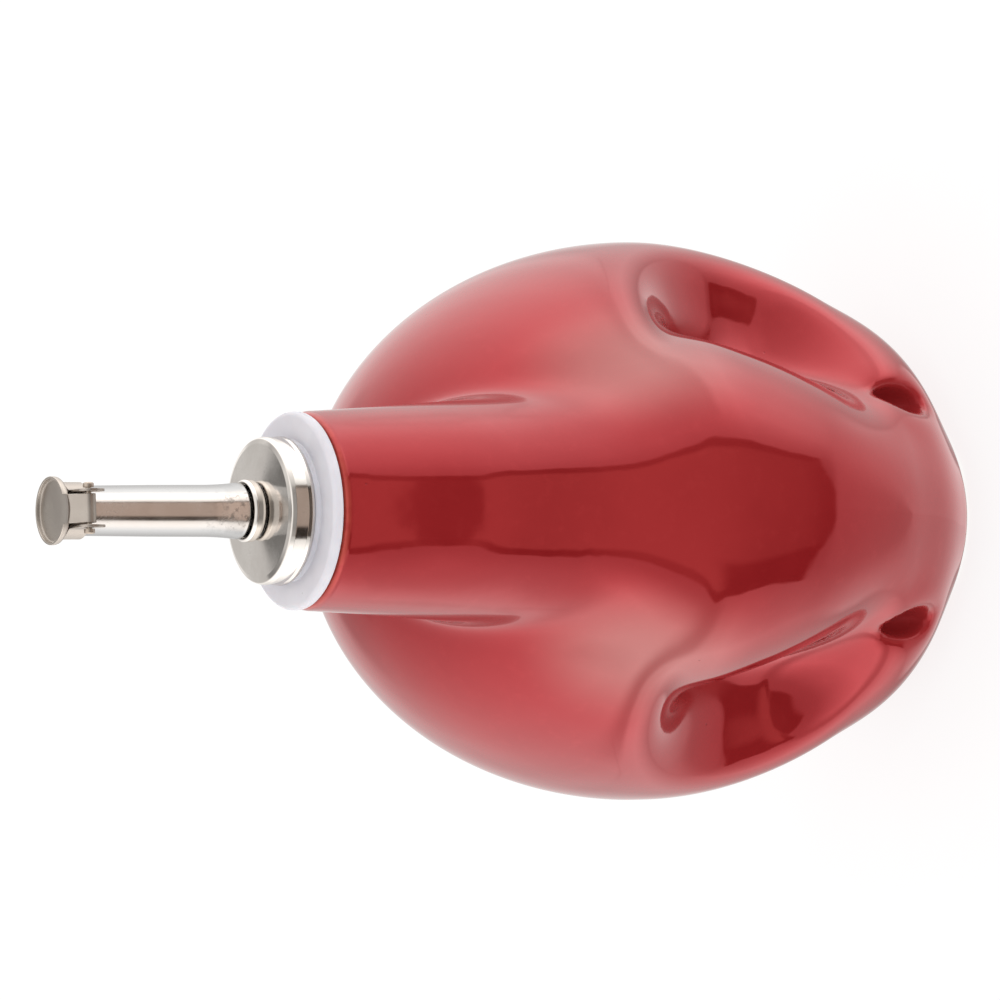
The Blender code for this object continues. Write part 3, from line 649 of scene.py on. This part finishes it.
def steel_material(name, colours, roughness, grain, relief, stain=0.0, flank_shade_grey=None,
                   brushed=(1, 1, 1)):
    """Stainless steel: fine drawn or rolled grain, smudges, small scratches."""
    material, net, principled = shader(name)
    place = net.coords()
    lines = net.noise(net.scaled(place, [grain * k for k in brushed]),
                      scale=1.0, detail=4.0, rough=0.6)
    smudge = net.noise(place, scale=160.0)
    scratch = net.noise(net.scaled(place, (1400.0, 300.0, 900.0)), scale=1.0, detail=2.0)
    scratch = abs(scratch - 0.5).step(over=(0.012, 0.003)) * smudge.step(over=(0.5, 0.62))
    colour = net.blend(*colours, smudge.step(over=(0.35, 0.65)))
    colour = net.blend(colour, tuple(0.72 * v for v in colours[0]), share=scratch * 0.5)
    rough = smudge.step(over=(0.3, 0.7), to=roughness) + (lines - 0.5) * 0.10
    rough = rough + scratch * 0.12
    if stain > 0:
        # dried spots just above the collar
        low = net.parts(place)[2].step(over=(0.1625, 0.1535))
        spots = net.noise(place, scale=900.0, rough=0.65).step(over=(0.50, 0.66))
        spots = low * spots * stain
        colour = net.blend(colour, (0.16, 0.13, 0.11), share=spots)
        rough = rough + spots * 0.25
    if flank_shade_grey is not None:
        # painted shade: the colour turns grey where the surface faces away from the view, dimming
        # the reflections on its flanks
        facing = net.value("ShaderNodeLayerWeight", {"Blend": 0.5}, output="Facing")
        colour = net.blend(colour, (flank_shade_grey,) * 3, share=facing.step(over=(0.14, 0.42)))
    net.fill(principled, {
        "Base Color": colour,
        "Metallic": 1.0,
        "Roughness": rough,
        "Normal": net.bump(lines * relief + smudge * 0.10, strength=0.30, distance=0.0002),
    })
    return material


GLAZE = glaze_material()
SILICONE = silicone_material()
TUBE_STEEL = steel_material(
    "polished_steel_tube", colours=((0.66, 0.60, 0.555), (0.70, 0.65, 0.61)),
    roughness=(0.15, 0.20), grain=2400.0, relief=0.03, stain=0.45, flank_shade_grey=0.31,
    brushed=(1, 1, 0.06))
CAP_STEEL = steel_material(
    "polished_steel_cap", colours=((0.60, 0.565, 0.53), (0.66, 0.625, 0.59)),
    roughness=(0.09, 0.14), grain=1500.0, relief=0.015)
SATIN = steel_material(
    "satin_steel_sheet", colours=((0.365, 0.325, 0.29), (0.42, 0.38, 0.34)),
    roughness=(0.34, 0.44), grain=3200.0, relief=0.10, brushed=(1, 0.12, 0.5))
PIN_STEEL = steel_material(
    "brown_steel_pin", colours=((0.36, 0.30, 0.25), (0.46, 0.40, 0.34)),
    roughness=(0.30, 0.42), grain=2600.0, relief=0.06)

# --------------------------------------------------------------- ceramic body
# Heights of the rings that carry the skin up to the lip
NECK_RINGS = (129.0, 130.5, 132.0, 133.5, 135.0, 136.4, 137.4)
# Over the lip and down the bore: radius, z
LIP = [(17.42, 138.0), (17.3, 138.4), (17.08, 138.72), (16.75, 138.93), (16.3, LIP_Z),
       (15.0, LIP_Z), (BORE_R + 1.2, LIP_Z), (BORE_R + 0.7, LIP_Z - 0.08),
       (BORE_R + 0.3, LIP_Z - 0.35), (BORE_R + 0.08, LIP_Z - 0.8), (BORE_R, LIP_Z - 1.4),
       (BORE_R, 134.0), (BORE_R, 129.0), (BORE_R, 124.0), (BORE_R, BORE_BOTTOM)]
# Rounded edge of the foot: share of the rim's size, z
FOOT_EDGE = [(0.986, 0.2), (0.968, 0.04), (0.945, 0.0)]
# Dish under the foot: distance inside the flat ring, z
DISH = [(0.25, 0.1), (0.5, 0.45), (0.8, 0.9), (1.2, 1.12), (1.9, FOOT_DISH),
        (5.0, FOOT_DISH), (10.0, FOOT_DISH), (15.0, FOOT_DISH)]


def add_lip(mesh, top):
    """Neck rings, lip and bore above the skin; returns the last ring of the bore."""
    previous = None
    for z in NECK_RINGS:
        ring = body_ring(mesh, 18.0, z, NECK_C)
        press(vessel, ring, NECK_C)
        if previous is None:
            zipper(mesh, top, ring, NECK_C, True)
        else:
            strip(mesh, previous, ring, True)
        previous = ring
    for r, z in LIP:
        ring = body_ring(mesh, r, z, NECK_C)
        strip(mesh, previous, ring, True)
        previous = ring
    return previous


def add_foot(mesh, rim):
    """Rounded edge, flat ring and shallow dish below the skin."""
    x, y = FOOT_C
    previous = rim
    for share, z in FOOT_EDGE:
        ring = [mesh.verts.new((x + (v.co.x - x) * share, y + (v.co.y - y) * share, z))
                for v in rim]
        strip(mesh, previous, ring, False)
        previous = ring
    ring = body_ring(mesh, FOOT_FLAT_IN, 0.0, FOOT_C)
    zipper(mesh, previous, ring, FOOT_C, False)
    previous = ring
    for depth, z in DISH:
        ring = body_ring(mesh, FOOT_FLAT_IN - depth, z, FOOT_C)
        strip(mesh, previous, ring, False)
        previous = ring
    hub = mesh.verts.new((x, y, FOOT_DISH))
    for i in range(BODY_SIDES):
        mesh.faces.new((previous[(i + 1) % BODY_SIDES], previous[i], hub))


def add_oil_space(mesh, bore_end):
    space = skin_mesh(oil_space, (-50.3, BELLY_Y - 53.3, 1.0), (50.3, BELLY_Y + 50.3, 123.0),
                      OIL_CELL, rounds=2, inward=True)
    cut(space, OIL_TOP, False)
    data = to_data("space", space)
    mesh.from_mesh(data)
    bpy.data.meshes.remove(data)
    top = open_rim(mesh, OIL_TOP, NECK_C)
    press(oil_space, top, NECK_C)
    zipper(mesh, top, bore_end, NECK_C, False)


def vessel_mesh():
    mesh = skin_mesh(vessel, (-54.3, BELLY_Y - 57.3, -3.1), (54.3, BELLY_Y + 54.3, 133.0),
                     OUTER_CELL, rounds=3)
    cut(mesh, SKIN_TOP, False)
    cut(mesh, SKIN_LOW, True)
    top = open_rim(mesh, SKIN_TOP, NECK_C)
    press(vessel, top, NECK_C)
    foot_rim = open_rim(mesh, SKIN_LOW, FOOT_C)
    press(vessel, foot_rim, FOOT_C)
    bore_end = add_lip(mesh, top)
    add_foot(mesh, foot_rim)
    add_oil_space(mesh, bore_end)
    bmesh.ops.triangulate(mesh, faces=[f for f in mesh.faces if len(f.verts) > 4])
    return mesh


def make_body():
    mesh = vessel_mesh()
    for v in mesh.verts:
        v.co.x = max(-BODY_X, min(BODY_X, v.co.x))
        v.co.y = max(BODY_FRONT, min(BODY_BACK, v.co.y))
    # exact normals on the outer skin; a zero normal leaves the vertex to its faces
    co = np.array([v.co for v in mesh.verts])
    normals = slope(vessel, co, 0.15)
    normals /= np.linalg.norm(normals, axis=1)[:, None]
    on_skin = (np.abs(vessel(co)) < 0.06) & (co[:, 2] > 0.55) & (co[:, 2] < 137.5)
    normals[~on_skin] = 0.0
    body = finish_mesh("glazed_body", mesh, GLAZE, "bottle", normals)
    register(body, "ceramic_body")


make_body()

# ------------------------------------------------- stopper and turned steel
# Profiles are closed lists of (radius, z, corner radius).
SLEEVE_R = 4.85  # hole of the pieces that sit round the tube
TUBE_R0, TUBE_R1, TUBE_BORE = 4.55, 4.36, 3.75
TUBE_FOOT_R, TUBE_FOOT_Z0, TUBE_FOOT_Z1 = 4.95, 151.3, 157.5
TUBE_BOTTOM, TUBE_TOP = 112.0, 185.8
FLANGE_Z0 = LIP_Z + 0.3
FLANGE_Z1 = FLANGE_Z0 + 2.0
HUB_Z = FLANGE_Z1 + 1.1
PLUG_R, FIN_R, PLUG_BOTTOM = 10.2, 12.1, 119.6
FIN_HEIGHTS = (134.0, 129.0, 124.0)

PLUG = [(SLEEVE_R, HUB_Z, 0.1), (12.4, HUB_Z, 0.35), (12.45, FLANGE_Z1, 0.25),
        (17.45, FLANGE_Z1, 0.85), (17.45, FLANGE_Z0, 0.6), (11.4, FLANGE_Z0, 0.8),
        (PLUG_R, FLANGE_Z0 - 1.4, 0.6)]
for fin_z in FIN_HEIGHTS:
    PLUG += [(PLUG_R, fin_z + 1.0, 0.4), (FIN_R, fin_z + 0.6, 0.22),
             (FIN_R, fin_z + 0.05, 0.22), (PLUG_R, fin_z - 1.3, 0.5)]
PLUG += [(PLUG_R, PLUG_BOTTOM, 1.0), (SLEEVE_R, PLUG_BOTTOM, 0.2)]

BREATHER = [(1.3, 106.0, 0.15), (1.3, 143.4, 0.15), (0.8, 143.4, 0.12), (0.8, 106.0, 0.12)]

TUBE = [(TUBE_R0, TUBE_BOTTOM, 0.2), (TUBE_R0, TUBE_FOOT_Z0 - 0.7, 0.5),
        (TUBE_FOOT_R, TUBE_FOOT_Z0, 0.3), (TUBE_FOOT_R - 0.02, TUBE_FOOT_Z0 + 0.6, 0.5),
        (TUBE_FOOT_R - 0.17, TUBE_FOOT_Z0 + 2.0, 6.0),
        (TUBE_FOOT_R - 0.32, TUBE_FOOT_Z0 + 4.0, 10.0),
        (TUBE_R0, TUBE_FOOT_Z1, 20.0), (4.5, 168.0, 30.0), (TUBE_R1, 181.0, 30.0),
        (TUBE_R1, TUBE_TOP, 0.2), (TUBE_BORE, TUBE_TOP, 0.2), (TUBE_BORE, TUBE_BOTTOM, 0.15)]

CLAMP = [(SLEEVE_R, 117.2, 0.2), (5.9, 117.2, 0.3), (5.9, 119.2, 0.3), (SLEEVE_R, 119.2, 0.2)]

CAP = [(SLEEVE_R, 147.95, 0.15), (11.8, 147.35, 0.3), (12.75, 147.05, 0.45),
       (12.98, 146.2, 0.6), (12.98, 143.9, 0.5), (13.1, 143.3, 0.25), (13.1, 142.7, 0.3),
       (12.45, 142.72, 0.2), (12.35, 145.9, 0.8), (11.3, 146.65, 0.5), (SLEEVE_R, 147.15, 0.1)]

COLLAR = [(SLEEVE_R, 148.3, 0.1), (5.15, 148.3, 0.3), (5.5, 148.9, 0.6),
          (5.5, 150.1, 0.6), (5.1, 150.6, 0.2), (SLEEVE_R, 150.35, 0.08)]

turned("silicone_plug", "stopper_plug", PLUG, SILICONE, "stopper", sides=144)
turned("breather_tube", "air_vent_tube", BREATHER, SATIN, "stopper",
       sides=40, x=7.6)
turned("pour_tube", "spout_tube", TUBE, TUBE_STEEL, "spout", sides=160)
turned("clamp_ring", "retaining_ring", CLAMP, SATIN, "spout", sides=96)
turned("steel_cap", "spout_cap", CAP, CAP_STEEL, "spout", sides=192)
turned("tube_collar", "spout_collar", COLLAR, CAP_STEEL, "spout", sides=128)

# ---------------------------------------------------------------- hinge pieces
# The pin lies along X, in front of the top of the tube.
PIN_Y, PIN_Z = NECK_Y - 7.15, 183.35
PIN_SIDES = 48
PIN_HOLE_R = 0.8
CLIP_R, CLIP_T, CLIP_Z0, CLIP_Z1 = 4.82, 0.32, 181.8, 185.6
EAR_X, EAR_T, EAR_TIP, EAR_DROP = 3.1, 0.45, 2.05, 0.85


def pin_ring(mesh, radius, x):
    """Ring round the pin's axis."""
    angles = [2 * math.pi * k / PIN_SIDES for k in range(PIN_SIDES)]
    return [mesh.verts.new((x, PIN_Y + radius * math.cos(a), PIN_Z + radius * math.sin(a)))
            for a in angles]


def section(half_width, low, high, radius):
    """Rounded rectangle in (a, b), counter-clockwise."""
    right, left = half_width - radius, -half_width + radius
    corners = ((right, high - radius, 0), (left, high - radius, 90),
               (left, low + radius, 180), (right, low + radius, 270))
    points = []
    for x, y, first in corners:
        for j in range(4):
            a = math.radians(first + 90 * j / 3)
            points.append((x + radius * math.cos(a), y + radius * math.sin(a)))
    return points


def even_normals(ob):
    modifier = ob.modifiers.new("even", "WEIGHTED_NORMAL")
    modifier.keep_sharp = True


def swept(name, stations, body):
    """Closed sweep of equal loops of world points."""
    mesh = bmesh.new()
    capped(mesh, [[mesh.verts.new(p) for p in station] for station in stations])
    ob = finish_mesh(name, mesh, SATIN, body)
    ob.data.set_sharp_from_angle(angle=math.radians(50))
    even_normals(ob)
    return ob


def bake(ob, other, operation):
    """Apply a boolean with another object, which is then removed."""
    modifier = ob.modifiers.new("cut", "BOOLEAN")
    modifier.operation = operation
    modifier.solver = "EXACT"
    modifier.object = other
    while ob.modifiers[0] != modifier:
        ob.modifiers.remove(ob.modifiers[0])
    depsgraph = bpy.context.evaluated_depsgraph_get()
    data = bpy.data.meshes.new_from_object(ob.evaluated_get(depsgraph))
    material = ob.data.materials[0]
    ob.modifiers.clear()
    old = ob.data
    ob.data = data
    bpy.data.meshes.remove(old)
    bpy.data.objects.remove(other, do_unlink=True)
    data.materials.clear()
    data.materials.append(material)
    mesh = bmesh.new()
    mesh.from_mesh(data)
    bmesh.ops.remove_doubles(mesh, verts=mesh.verts[:], dist=2e-6)
    bmesh.ops.dissolve_degenerate(mesh, edges=mesh.edges[:], dist=2e-6)
    for face in mesh.faces:
        face.smooth = True
        face.material_index = 0
    mesh.to_mesh(data)
    mesh.free()
    data.set_sharp_from_angle(angle=math.radians(32))
    even_normals(ob)


def drill_pin_hole(ob, half_length=6.0):
    mesh = bmesh.new()
    capped(mesh, [pin_ring(mesh, PIN_HOLE_R, x) for x in (-half_length, half_length)])
    bmesh.ops.recalc_face_normals(mesh, faces=mesh.faces[:])
    data = to_data("cutter", mesh)
    data.transform(Matrix.Scale(MM, 4))
    bake(ob, add_object("cutter", data), "DIFFERENCE")


def clip_stations():
    """Left ear, the strap round the back of the tube, right ear."""
    tip_y = PIN_Y - EAR_TIP + 0.03
    fold_dy = -math.sqrt(CLIP_R ** 2 - EAR_X ** 2)
    spacing = 1 - np.cos(np.linspace(0, math.pi / 2, 26))

    def ear(side, steps):
        return [(side * EAR_X, tip_y + (NECK_Y + fold_dy - tip_y) * t, side, 0.0, EAR_T)
                for t in steps]

    first = math.atan2(fold_dy, -EAR_X)
    sweep = (math.atan2(fold_dy, EAR_X) - first) % (2 * math.pi) - 2 * math.pi
    left, right = ear(-1.0, spacing[:-1]), ear(1.0, spacing[::-1][1:])
    strap = []
    for t in np.linspace(0, 1, 90):
        a = first + sweep * t
        c, s = math.cos(a), math.sin(a)
        strap.append((CLIP_R * c, NECK_Y + CLIP_R * s, c, s, CLIP_T))
    is_ear = [True] * len(left) + [False] * len(strap) + [True] * len(right)
    # columns: x, y, normal x, normal y, thickness
    path = np.array(left + strap + right)
    # the fold from strap to ear is rounded by averaging the path
    for _ in range(6):
        path[1:-1] = 0.25 * path[:-2] + 0.5 * path[1:-1] + 0.25 * path[2:]
    stations = []
    for (x, y, nx, ny, thick), on_ear in zip(path, is_ear):
        length = math.hypot(nx, ny)
        nx, ny = nx / length, ny / length
        dy = y - PIN_Y
        top, bottom = CLIP_Z1, CLIP_Z0
        if dy < 0:
            c = math.sqrt(max(EAR_TIP ** 2 - dy * dy, 0.03))
            top, bottom = PIN_Z + c, PIN_Z - c * (1 + EAR_DROP / EAR_TIP)
        elif on_ear:
            s = float(ease(dy / 3.2))
            top = (PIN_Z + EAR_TIP) * (1 - s) + CLIP_Z1 * s
            bottom = (PIN_Z - EAR_TIP - EAR_DROP) * (1 - s) + CLIP_Z0 * s
        loop = section(thick / 2, bottom, top, min(0.09, (top - bottom) * 0.3))
        stations.append([(x + nx * a, y + ny * a, b) for a, b in loop])
    return stations


def make_clip():
    clip = swept("clip_strap", clip_stations(), "spout")
    drill_pin_hole(clip)
    register(clip, "hinge_clip")


def make_pin():
    """Round pin with a domed head outside each ear."""
    head = EAR_X + EAR_T / 2 + 0.25
    end_x = 4.45
    # from the outer end inward: distance from the middle, radius
    right = [(end_x, 0.55), (4.42, 0.72), (4.33, 0.86), (4.2, 0.95),
             (head + 0.05, 0.95), (head, 0.90), (head - 0.01, 0.5)]
    profile = [(-x, r) for x, r in right] + right[::-1]
    mesh = bmesh.new()
    first = mesh.verts.new((-end_x, PIN_Y, PIN_Z))
    rings = [pin_ring(mesh, r, x) for x, r in profile]
    last = mesh.verts.new((end_x, PIN_Y, PIN_Z))
    pointed(mesh, first, rings, last, out=False)
    pin = finish_mesh("pivot_pin", mesh, PIN_STEEL, "spout")
    pin.data.set_sharp_from_angle(angle=math.radians(40))
    register(pin, "hinge_pin")


make_clip()
make_pin()

# -------------------------------------------------------------------- flap lid
LID_R, LID_BASE, LID_FLOOR, LID_RIM = 5.93, 186.1, 186.6, 187.4
LID_SIDES = 128
# From the middle of the base round the rim to the floor of the dish: radius, z
LID = [(3.0, LID_BASE), (LID_R - 0.55, LID_BASE), (LID_R - 0.28, LID_BASE + 0.06),
       (LID_R - 0.1, LID_BASE + 0.24), (LID_R - 0.02, LID_BASE + 0.5), (LID_R, LID_BASE + 0.8),
       (LID_R, LID_RIM - 0.14), (LID_R - 0.05, LID_RIM - 0.04), (LID_R - 0.14, LID_RIM),
       (LID_R - 0.26, LID_RIM), (LID_R - 0.36, LID_RIM - 0.05), (LID_R - 0.41, LID_RIM - 0.14),
       (LID_R - 0.43, LID_FLOOR + 0.35), (LID_R - 0.5, LID_FLOOR + 0.14),
       (LID_R - 0.64, LID_FLOOR + 0.03), (LID_R - 0.85, LID_FLOOR), (3.0, LID_FLOOR - 0.03)]
TONGUE_Z, TONGUE_T, TONGUE_HALF = 186.35, 0.45, 2.5
CURL_R = 0.8 + TONGUE_T / 2
NOTCH_C, NOTCH_SIZE = (0.0, NECK_Y - 5.63, 187.61), (5.1, 2.4, 2.0)


def lid_disc():
    mesh = bmesh.new()
    first = mesh.verts.new((0, NECK_Y, LID_BASE))
    rings = [level_ring(mesh, r, z, LID_SIDES) for r, z in LID]
    last = mesh.verts.new((0, NECK_Y, LID_FLOOR - 0.05))
    pointed(mesh, first, rings, last, out=True)
    return mesh


def tongue_stations():
    """Flat tongue: leaves the dish at floor level, slopes to the front and curls round the pin."""
    bend_y, bend_z = NECK_Y - 5.6, TONGUE_Z
    dy, dz = bend_y - PIN_Y, bend_z - PIN_Z
    touch = math.atan2(dz, dy) + math.acos(CURL_R / math.hypot(dy, dz))
    slope_y, slope_z = math.sin(touch), math.cos(touch)
    way = [(NECK_Y - 3.4, TONGUE_Z), (NECK_Y - 4.2, TONGUE_Z)]
    for t in np.linspace(0, 1, 12):
        u, v = 0.7 * (1 - t) ** 2, 0.7 * t ** 2
        way.append((bend_y + u - v * slope_y, bend_z + v * slope_z))
    y1, z1 = way[-1]
    y2, z2 = PIN_Y + CURL_R * math.cos(touch), PIN_Z + CURL_R * math.sin(touch)
    for t in (0.25, 0.5, 0.75):
        way.append((y1 + (y2 - y1) * t, z1 + (z2 - z1) * t))
    for degrees in range(0, 253, 7):
        a = touch + math.radians(degrees)
        way.append((PIN_Y + CURL_R * math.cos(a), PIN_Z + CURL_R * math.sin(a)))
    loop = section(TONGUE_HALF, -TONGUE_T / 2, TONGUE_T / 2, 0.1)
    stations = []
    for i, (y, z) in enumerate(way):
        y0, z0 = way[max(i - 1, 0)]
        y1, z1 = way[min(i + 1, len(way) - 1)]
        ty, tz = y1 - y0, z1 - z0
        length = math.hypot(ty, tz)
        ny, nz = -tz / length, ty / length
        stations.append([(a, y + ny * b, z + nz * b) for a, b in loop])
    return stations


def make_flap():
    """Dish joined to its tongue, with a notch in the rim above the tongue."""
    flap = finish_mesh("dished_flap", lid_disc(), SATIN, "lid")
    tongue = swept("strap_tmp", tongue_stations(), "lid")
    tongue.modifiers.clear()
    bpy.context.view_layer.update()
    bake(flap, tongue, "UNION")
    mesh = bmesh.new()
    bmesh.ops.create_cube(mesh, size=1.0)
    for v in mesh.verts:
        v.co = Vector([c + s * k for c, s, k in zip(NOTCH_C, v.co, NOTCH_SIZE)])
    notch = finish_mesh("notch_tmp", mesh, SATIN, "lid")
    bpy.context.view_layer.update()
    bake(flap, notch, "DIFFERENCE")
    register(flap, "flap_lid")


make_flap()


# ----------------------------------------------------------------------- floor
def floor_material():
    """Pale floor that also glows, so that it stays nearly white."""
    material = bpy.data.materials.new("pale_floor")
    material.use_nodes = True
    net = Net(material.node_tree)
    net.nodes.clear()
    grain = net.noise(net.coords(), scale=40.0)
    grey = net.blend((0.19, 0.19, 0.19), (0.21, 0.21, 0.21), grain)
    matt = net.value("ShaderNodeBsdfDiffuse", {"Color": grey})
    glow = net.value("ShaderNodeEmission", {"Color": (1, 1, 1), "Strength": 0.84})
    both = net.value("ShaderNodeAddShader", {0: matt, 1: glow})
    net.node("ShaderNodeOutputMaterial", {0: both})
    return material


def make_floor():
    """Round floor just under the foot, in metres."""
    radii, z, sides = (0.05, 0.15, 0.4, 1.0, 3.0, 9.0), -0.00005, 96
    mesh = bmesh.new()
    hub = mesh.verts.new((0, 0, z))
    rings = [level_ring(mesh, r, z, sides, centre=(0.0, 0.0)) for r in radii]
    for k in range(sides):
        mesh.faces.new((hub, rings[0][k], rings[0][(k + 1) % sides]))
    for inner, outer in zip(rings, rings[1:]):
        strip(mesh, outer, inner, False)
    bmesh.ops.recalc_face_normals(mesh, faces=mesh.faces[:])
    data = to_data("floor", mesh)
    if data.polygons[0].normal.z < 0:
        data.flip_normals()
    data.materials.append(floor_material())
    floor = add_object("pale_floor", data)
    floor.visible_glossy = False


make_floor()

# ---------------------------------------------------------------------- studio
# Brightness tables. The first three have columns azimuth, level. Azimuth is in degrees,
# 0 at the front (-Y) and 90 at the right (+X).
# Upper half of the side panels: brightest beside the object, weaker toward the back
PANEL = [(-180, 1.1), (-150, 1.4), (-120, 2.0), (-90, 2.55), (-70, 2.8), (-58, 1.9),
         (-48, 1.0), (-30, 0.5), (25, 0.5), (40, 1.0), (55, 1.5), (72, 2.4), (88, 2.95),
         (120, 2.35), (150, 1.6), (180, 1.1)]
# Middle band, where the table runs up to the panels
APRON = [(-180, 0.9), (-150, 1.15), (-120, 1.85), (-95, 1.6), (-70, 1.3), (-54, 0.95),
         (-40, 0.8), (30, 0.9), (40, 1.25), (48, 1.65), (66, 2.15), (92, 2.45),
         (120, 2.05), (150, 1.4), (180, 0.9)]
# Lower half of the side panels
SKIRT = [(-180, 0.9), (-150, 1.0), (-120, 1.85), (-98, 2.6), (-76, 2.1), (-50, 1.3),
         (-40, 1.2), (30, 1.0), (40, 1.25), (48, 1.8), (62, 2.75), (78, 3.05),
         (100, 2.7), (122, 1.8), (150, 1.0), (180, 0.9)]
# Dark front, columns elevation in degrees, level: weaker downward, black at its top
FRONT = [(-52, 0.05), (-48, 0.12), (-43, 0.28), (-33, 0.42), (-25, 0.56), (-16, 0.80),
         (-12.6, 0.82), (-11.6, 0.14), (-2, 0.12)]


def surround_level(net, az, el):
    """Side panels and table."""
    side = abs(az)
    right = az.step(over=(-2, 2))
    around = (-180, 180)
    panel = az.levels(PANEL, around) * el.step(over=(8, 46), to=(1.0, 0.62), kind="LINEAR")
    apron = az.levels(APRON, around)
    skirt = az.levels(SKIRT, around) * el.step(over=(-33, -52), to=(1.0, 0.5), kind="LINEAR")
    table = net.mix(az.step(over=(-60, -110), to=(0.92, 1.3)),
                    az.step(over=(10, 70), to=(0.98, 1.4)), share=right)
    table = table * el.step(over=(-60, -84), to=(1.0, 0.82))
    level = net.mix(table, skirt, share=el.step(over=(-53.0, -49.5)))
    level = net.mix(level, apron, share=el.step(over=(-25.0, -19.0)))
    level = net.mix(level, panel, share=el.step(over=(-17.0, -5.0)))
    # far edge of the table, a thin dark line low behind the object
    joint = net.mix(side.step(over=(76, 126), to=(-4.0, -23.0)),
                    az.step(over=(66, 116), to=(-11.0, -23.0)), share=right)
    line = (el - joint).band(over=(-0.5, 0.5), soft=0.5)
    line = line * (side.step(over=(96, 108)) * side.step(over=(138, 126)))
    return level * (1.0 - line * 0.10)


def add_front(net, level, az, el):
    """Dark front with black edges and a round lower end; returns the level and its mask."""
    front = el.levels(FRONT, over=(-60, 0))

    def edge(low_end, low_to, waist, top):
        """Azimuth of a side edge: its lower part, then shifts at the waist and the top."""
        shift = el.band(over=(-20.5, -16.0), soft=2.5) * waist
        shift = shift + el.step(over=(-17.5, -12.0), to=(0.0, top))
        return el.step(over=(-38, low_end), to=low_to) + shift

    left = edge(low_end=-51, low_to=(-48.0, -61.0), waist=-4.0, top=6.0)
    right = edge(low_end=-50, low_to=(37.5, 41.0), waist=1.5, top=-4.0)
    bottom = abs(az).step(over=(8, 44), to=(-51.5, -48.0))
    inside = (az - left).step(over=(-0.8, 0.8)) * (az - right).step(over=(0.8, -0.8))
    inside = inside * (el - bottom).step(over=(-0.8, 0.8))
    inside = inside * el.step(over=(3.0, -1.0))
    black_left = net.math(
        "MAXIMUM",
        (az - left).step(over=(9.0, 5.0)) * el.step(over=(-12, -16), to=(0.5, 1.0)),
        az.step(over=(-25, -31)) * el.step(over=(-17, -24)))
    black_right = (az - right).step(over=(-6.5, -3.8)) * el.step(over=(-50, -46), to=(0.3, 1.0))
    black = net.math("MAXIMUM", black_left, black_right * 0.75)
    front = front * (1.0 - black * 0.92)
    return net.mix(level, front, share=inside), inside


def add_dome(net, level, az, el):
    """Overhead dome, darker behind."""
    side = abs(az)
    dome = net.mix(side.step(over=(20, 75), to=(1.05, 1.45)), 1.5,
                   share=el.step(over=(40, 62)))
    level = net.mix(level, dome, share=el.step(over=(16, 40)) * side.step(over=(75, 45)))
    level = net.mix(level, dome, share=el.step(over=(40, 55)))
    level = net.mix(level, 0.80, share=side.step(over=(145, 165)) * el.step(over=(5, 14)))
    dark = side.step(over=(146, 164)) * (el.step(over=(30, 33)) * el.step(over=(56, 44)))
    return net.mix(level, 0.26, share=dark)


def make_studio():
    """Soft studio for reflections; a plain soft sky for diffuse light and for the camera."""
    world = bpy.data.worlds.new("studio")
    bpy.context.scene.world = world
    world.use_nodes = True
    world.cycles.sampling_method = "NONE"
    net = Net(world.node_tree)
    net.nodes.clear()
    x, y, z = net.parts(net.coords("Generated"))
    degrees = 180.0 / math.pi
    el = net.math("ARCSINE", z) * degrees
    az = net.math("ARCTAN2", x, y * -1.0) * degrees
    level = surround_level(net, az, el)
    level, inside = add_front(net, level, az, el)
    level = add_dome(net, level, az, el)
    warm = inside * el.band(over=(-52, 4), soft=3)
    tint = net.blend((1.0, 0.985, 0.97), (1.0, 0.80, 0.69), warm)

    def background(colour, strength):
        return net.value("ShaderNodeBackground", {"Color": colour, "Strength": strength})

    reflected = background(tint, level)
    soft = background((1.0, 0.99, 0.985), el.step(over=(-60, 70), to=(0.92, 1.04)))
    plain = background((1, 1, 1), 1.02)
    rays = net.node("ShaderNodeLightPath", {}).outputs
    lit = net.value("ShaderNodeMixShader",
                    {0: Signal(net, rays["Is Diffuse Ray"]), 1: reflected, 2: soft})
    seen = net.value("ShaderNodeMixShader",
                     {0: Signal(net, rays["Is Camera Ray"]), 1: lit, 2: plain})
    net.node("ShaderNodeOutputWorld", {0: seen})


make_studio()

# ---------------------------------------------------------------------- camera
DISTANCE, ELEVATION, YAW = 1200.0, math.radians(30.0), math.radians(-3.6)
TARGET = Vector((0.0, BELLY_Y, 60.0))
SENSOR, LENS = 36.0, 233.28
# How far the sight line is aimed off the target, in mm on the sensor
AIM_UP, AIM_RIGHT = 3.978, 0.756


def make_camera():
    back = Vector((math.sin(YAW) * math.cos(ELEVATION), -math.cos(YAW) * math.cos(ELEVATION),
                   math.sin(ELEVATION)))
    right = Vector((math.cos(YAW), math.sin(YAW), 0.0))
    up = back.cross(right)
    # a quarter turn: the camera's x axis runs down the object, its y axis to the right
    axis_z = -(-back * LENS + up * AIM_UP + right * AIM_RIGHT).normalized()
    axis_x = (-up - axis_z * (-up).dot(axis_z)).normalized()
    axis_y = axis_z.cross(axis_x)
    data = bpy.data.cameras.new("camera")
    camera = add_object("camera", data)
    data.sensor_width = SENSOR
    data.lens = LENS
    data.clip_start = 0.05
    data.clip_end = 60.0
    turn = Matrix((axis_x, axis_y, axis_z)).transposed().to_4x4()
    camera.matrix_world = Matrix.Translation((TARGET + back * DISTANCE) * MM) @ turn
    bpy.context.scene.camera = camera


make_camera()

bpy.context.scene.view_settings.view_transform = "Standard"
bpy.context.scene.view_settings.look = "None"
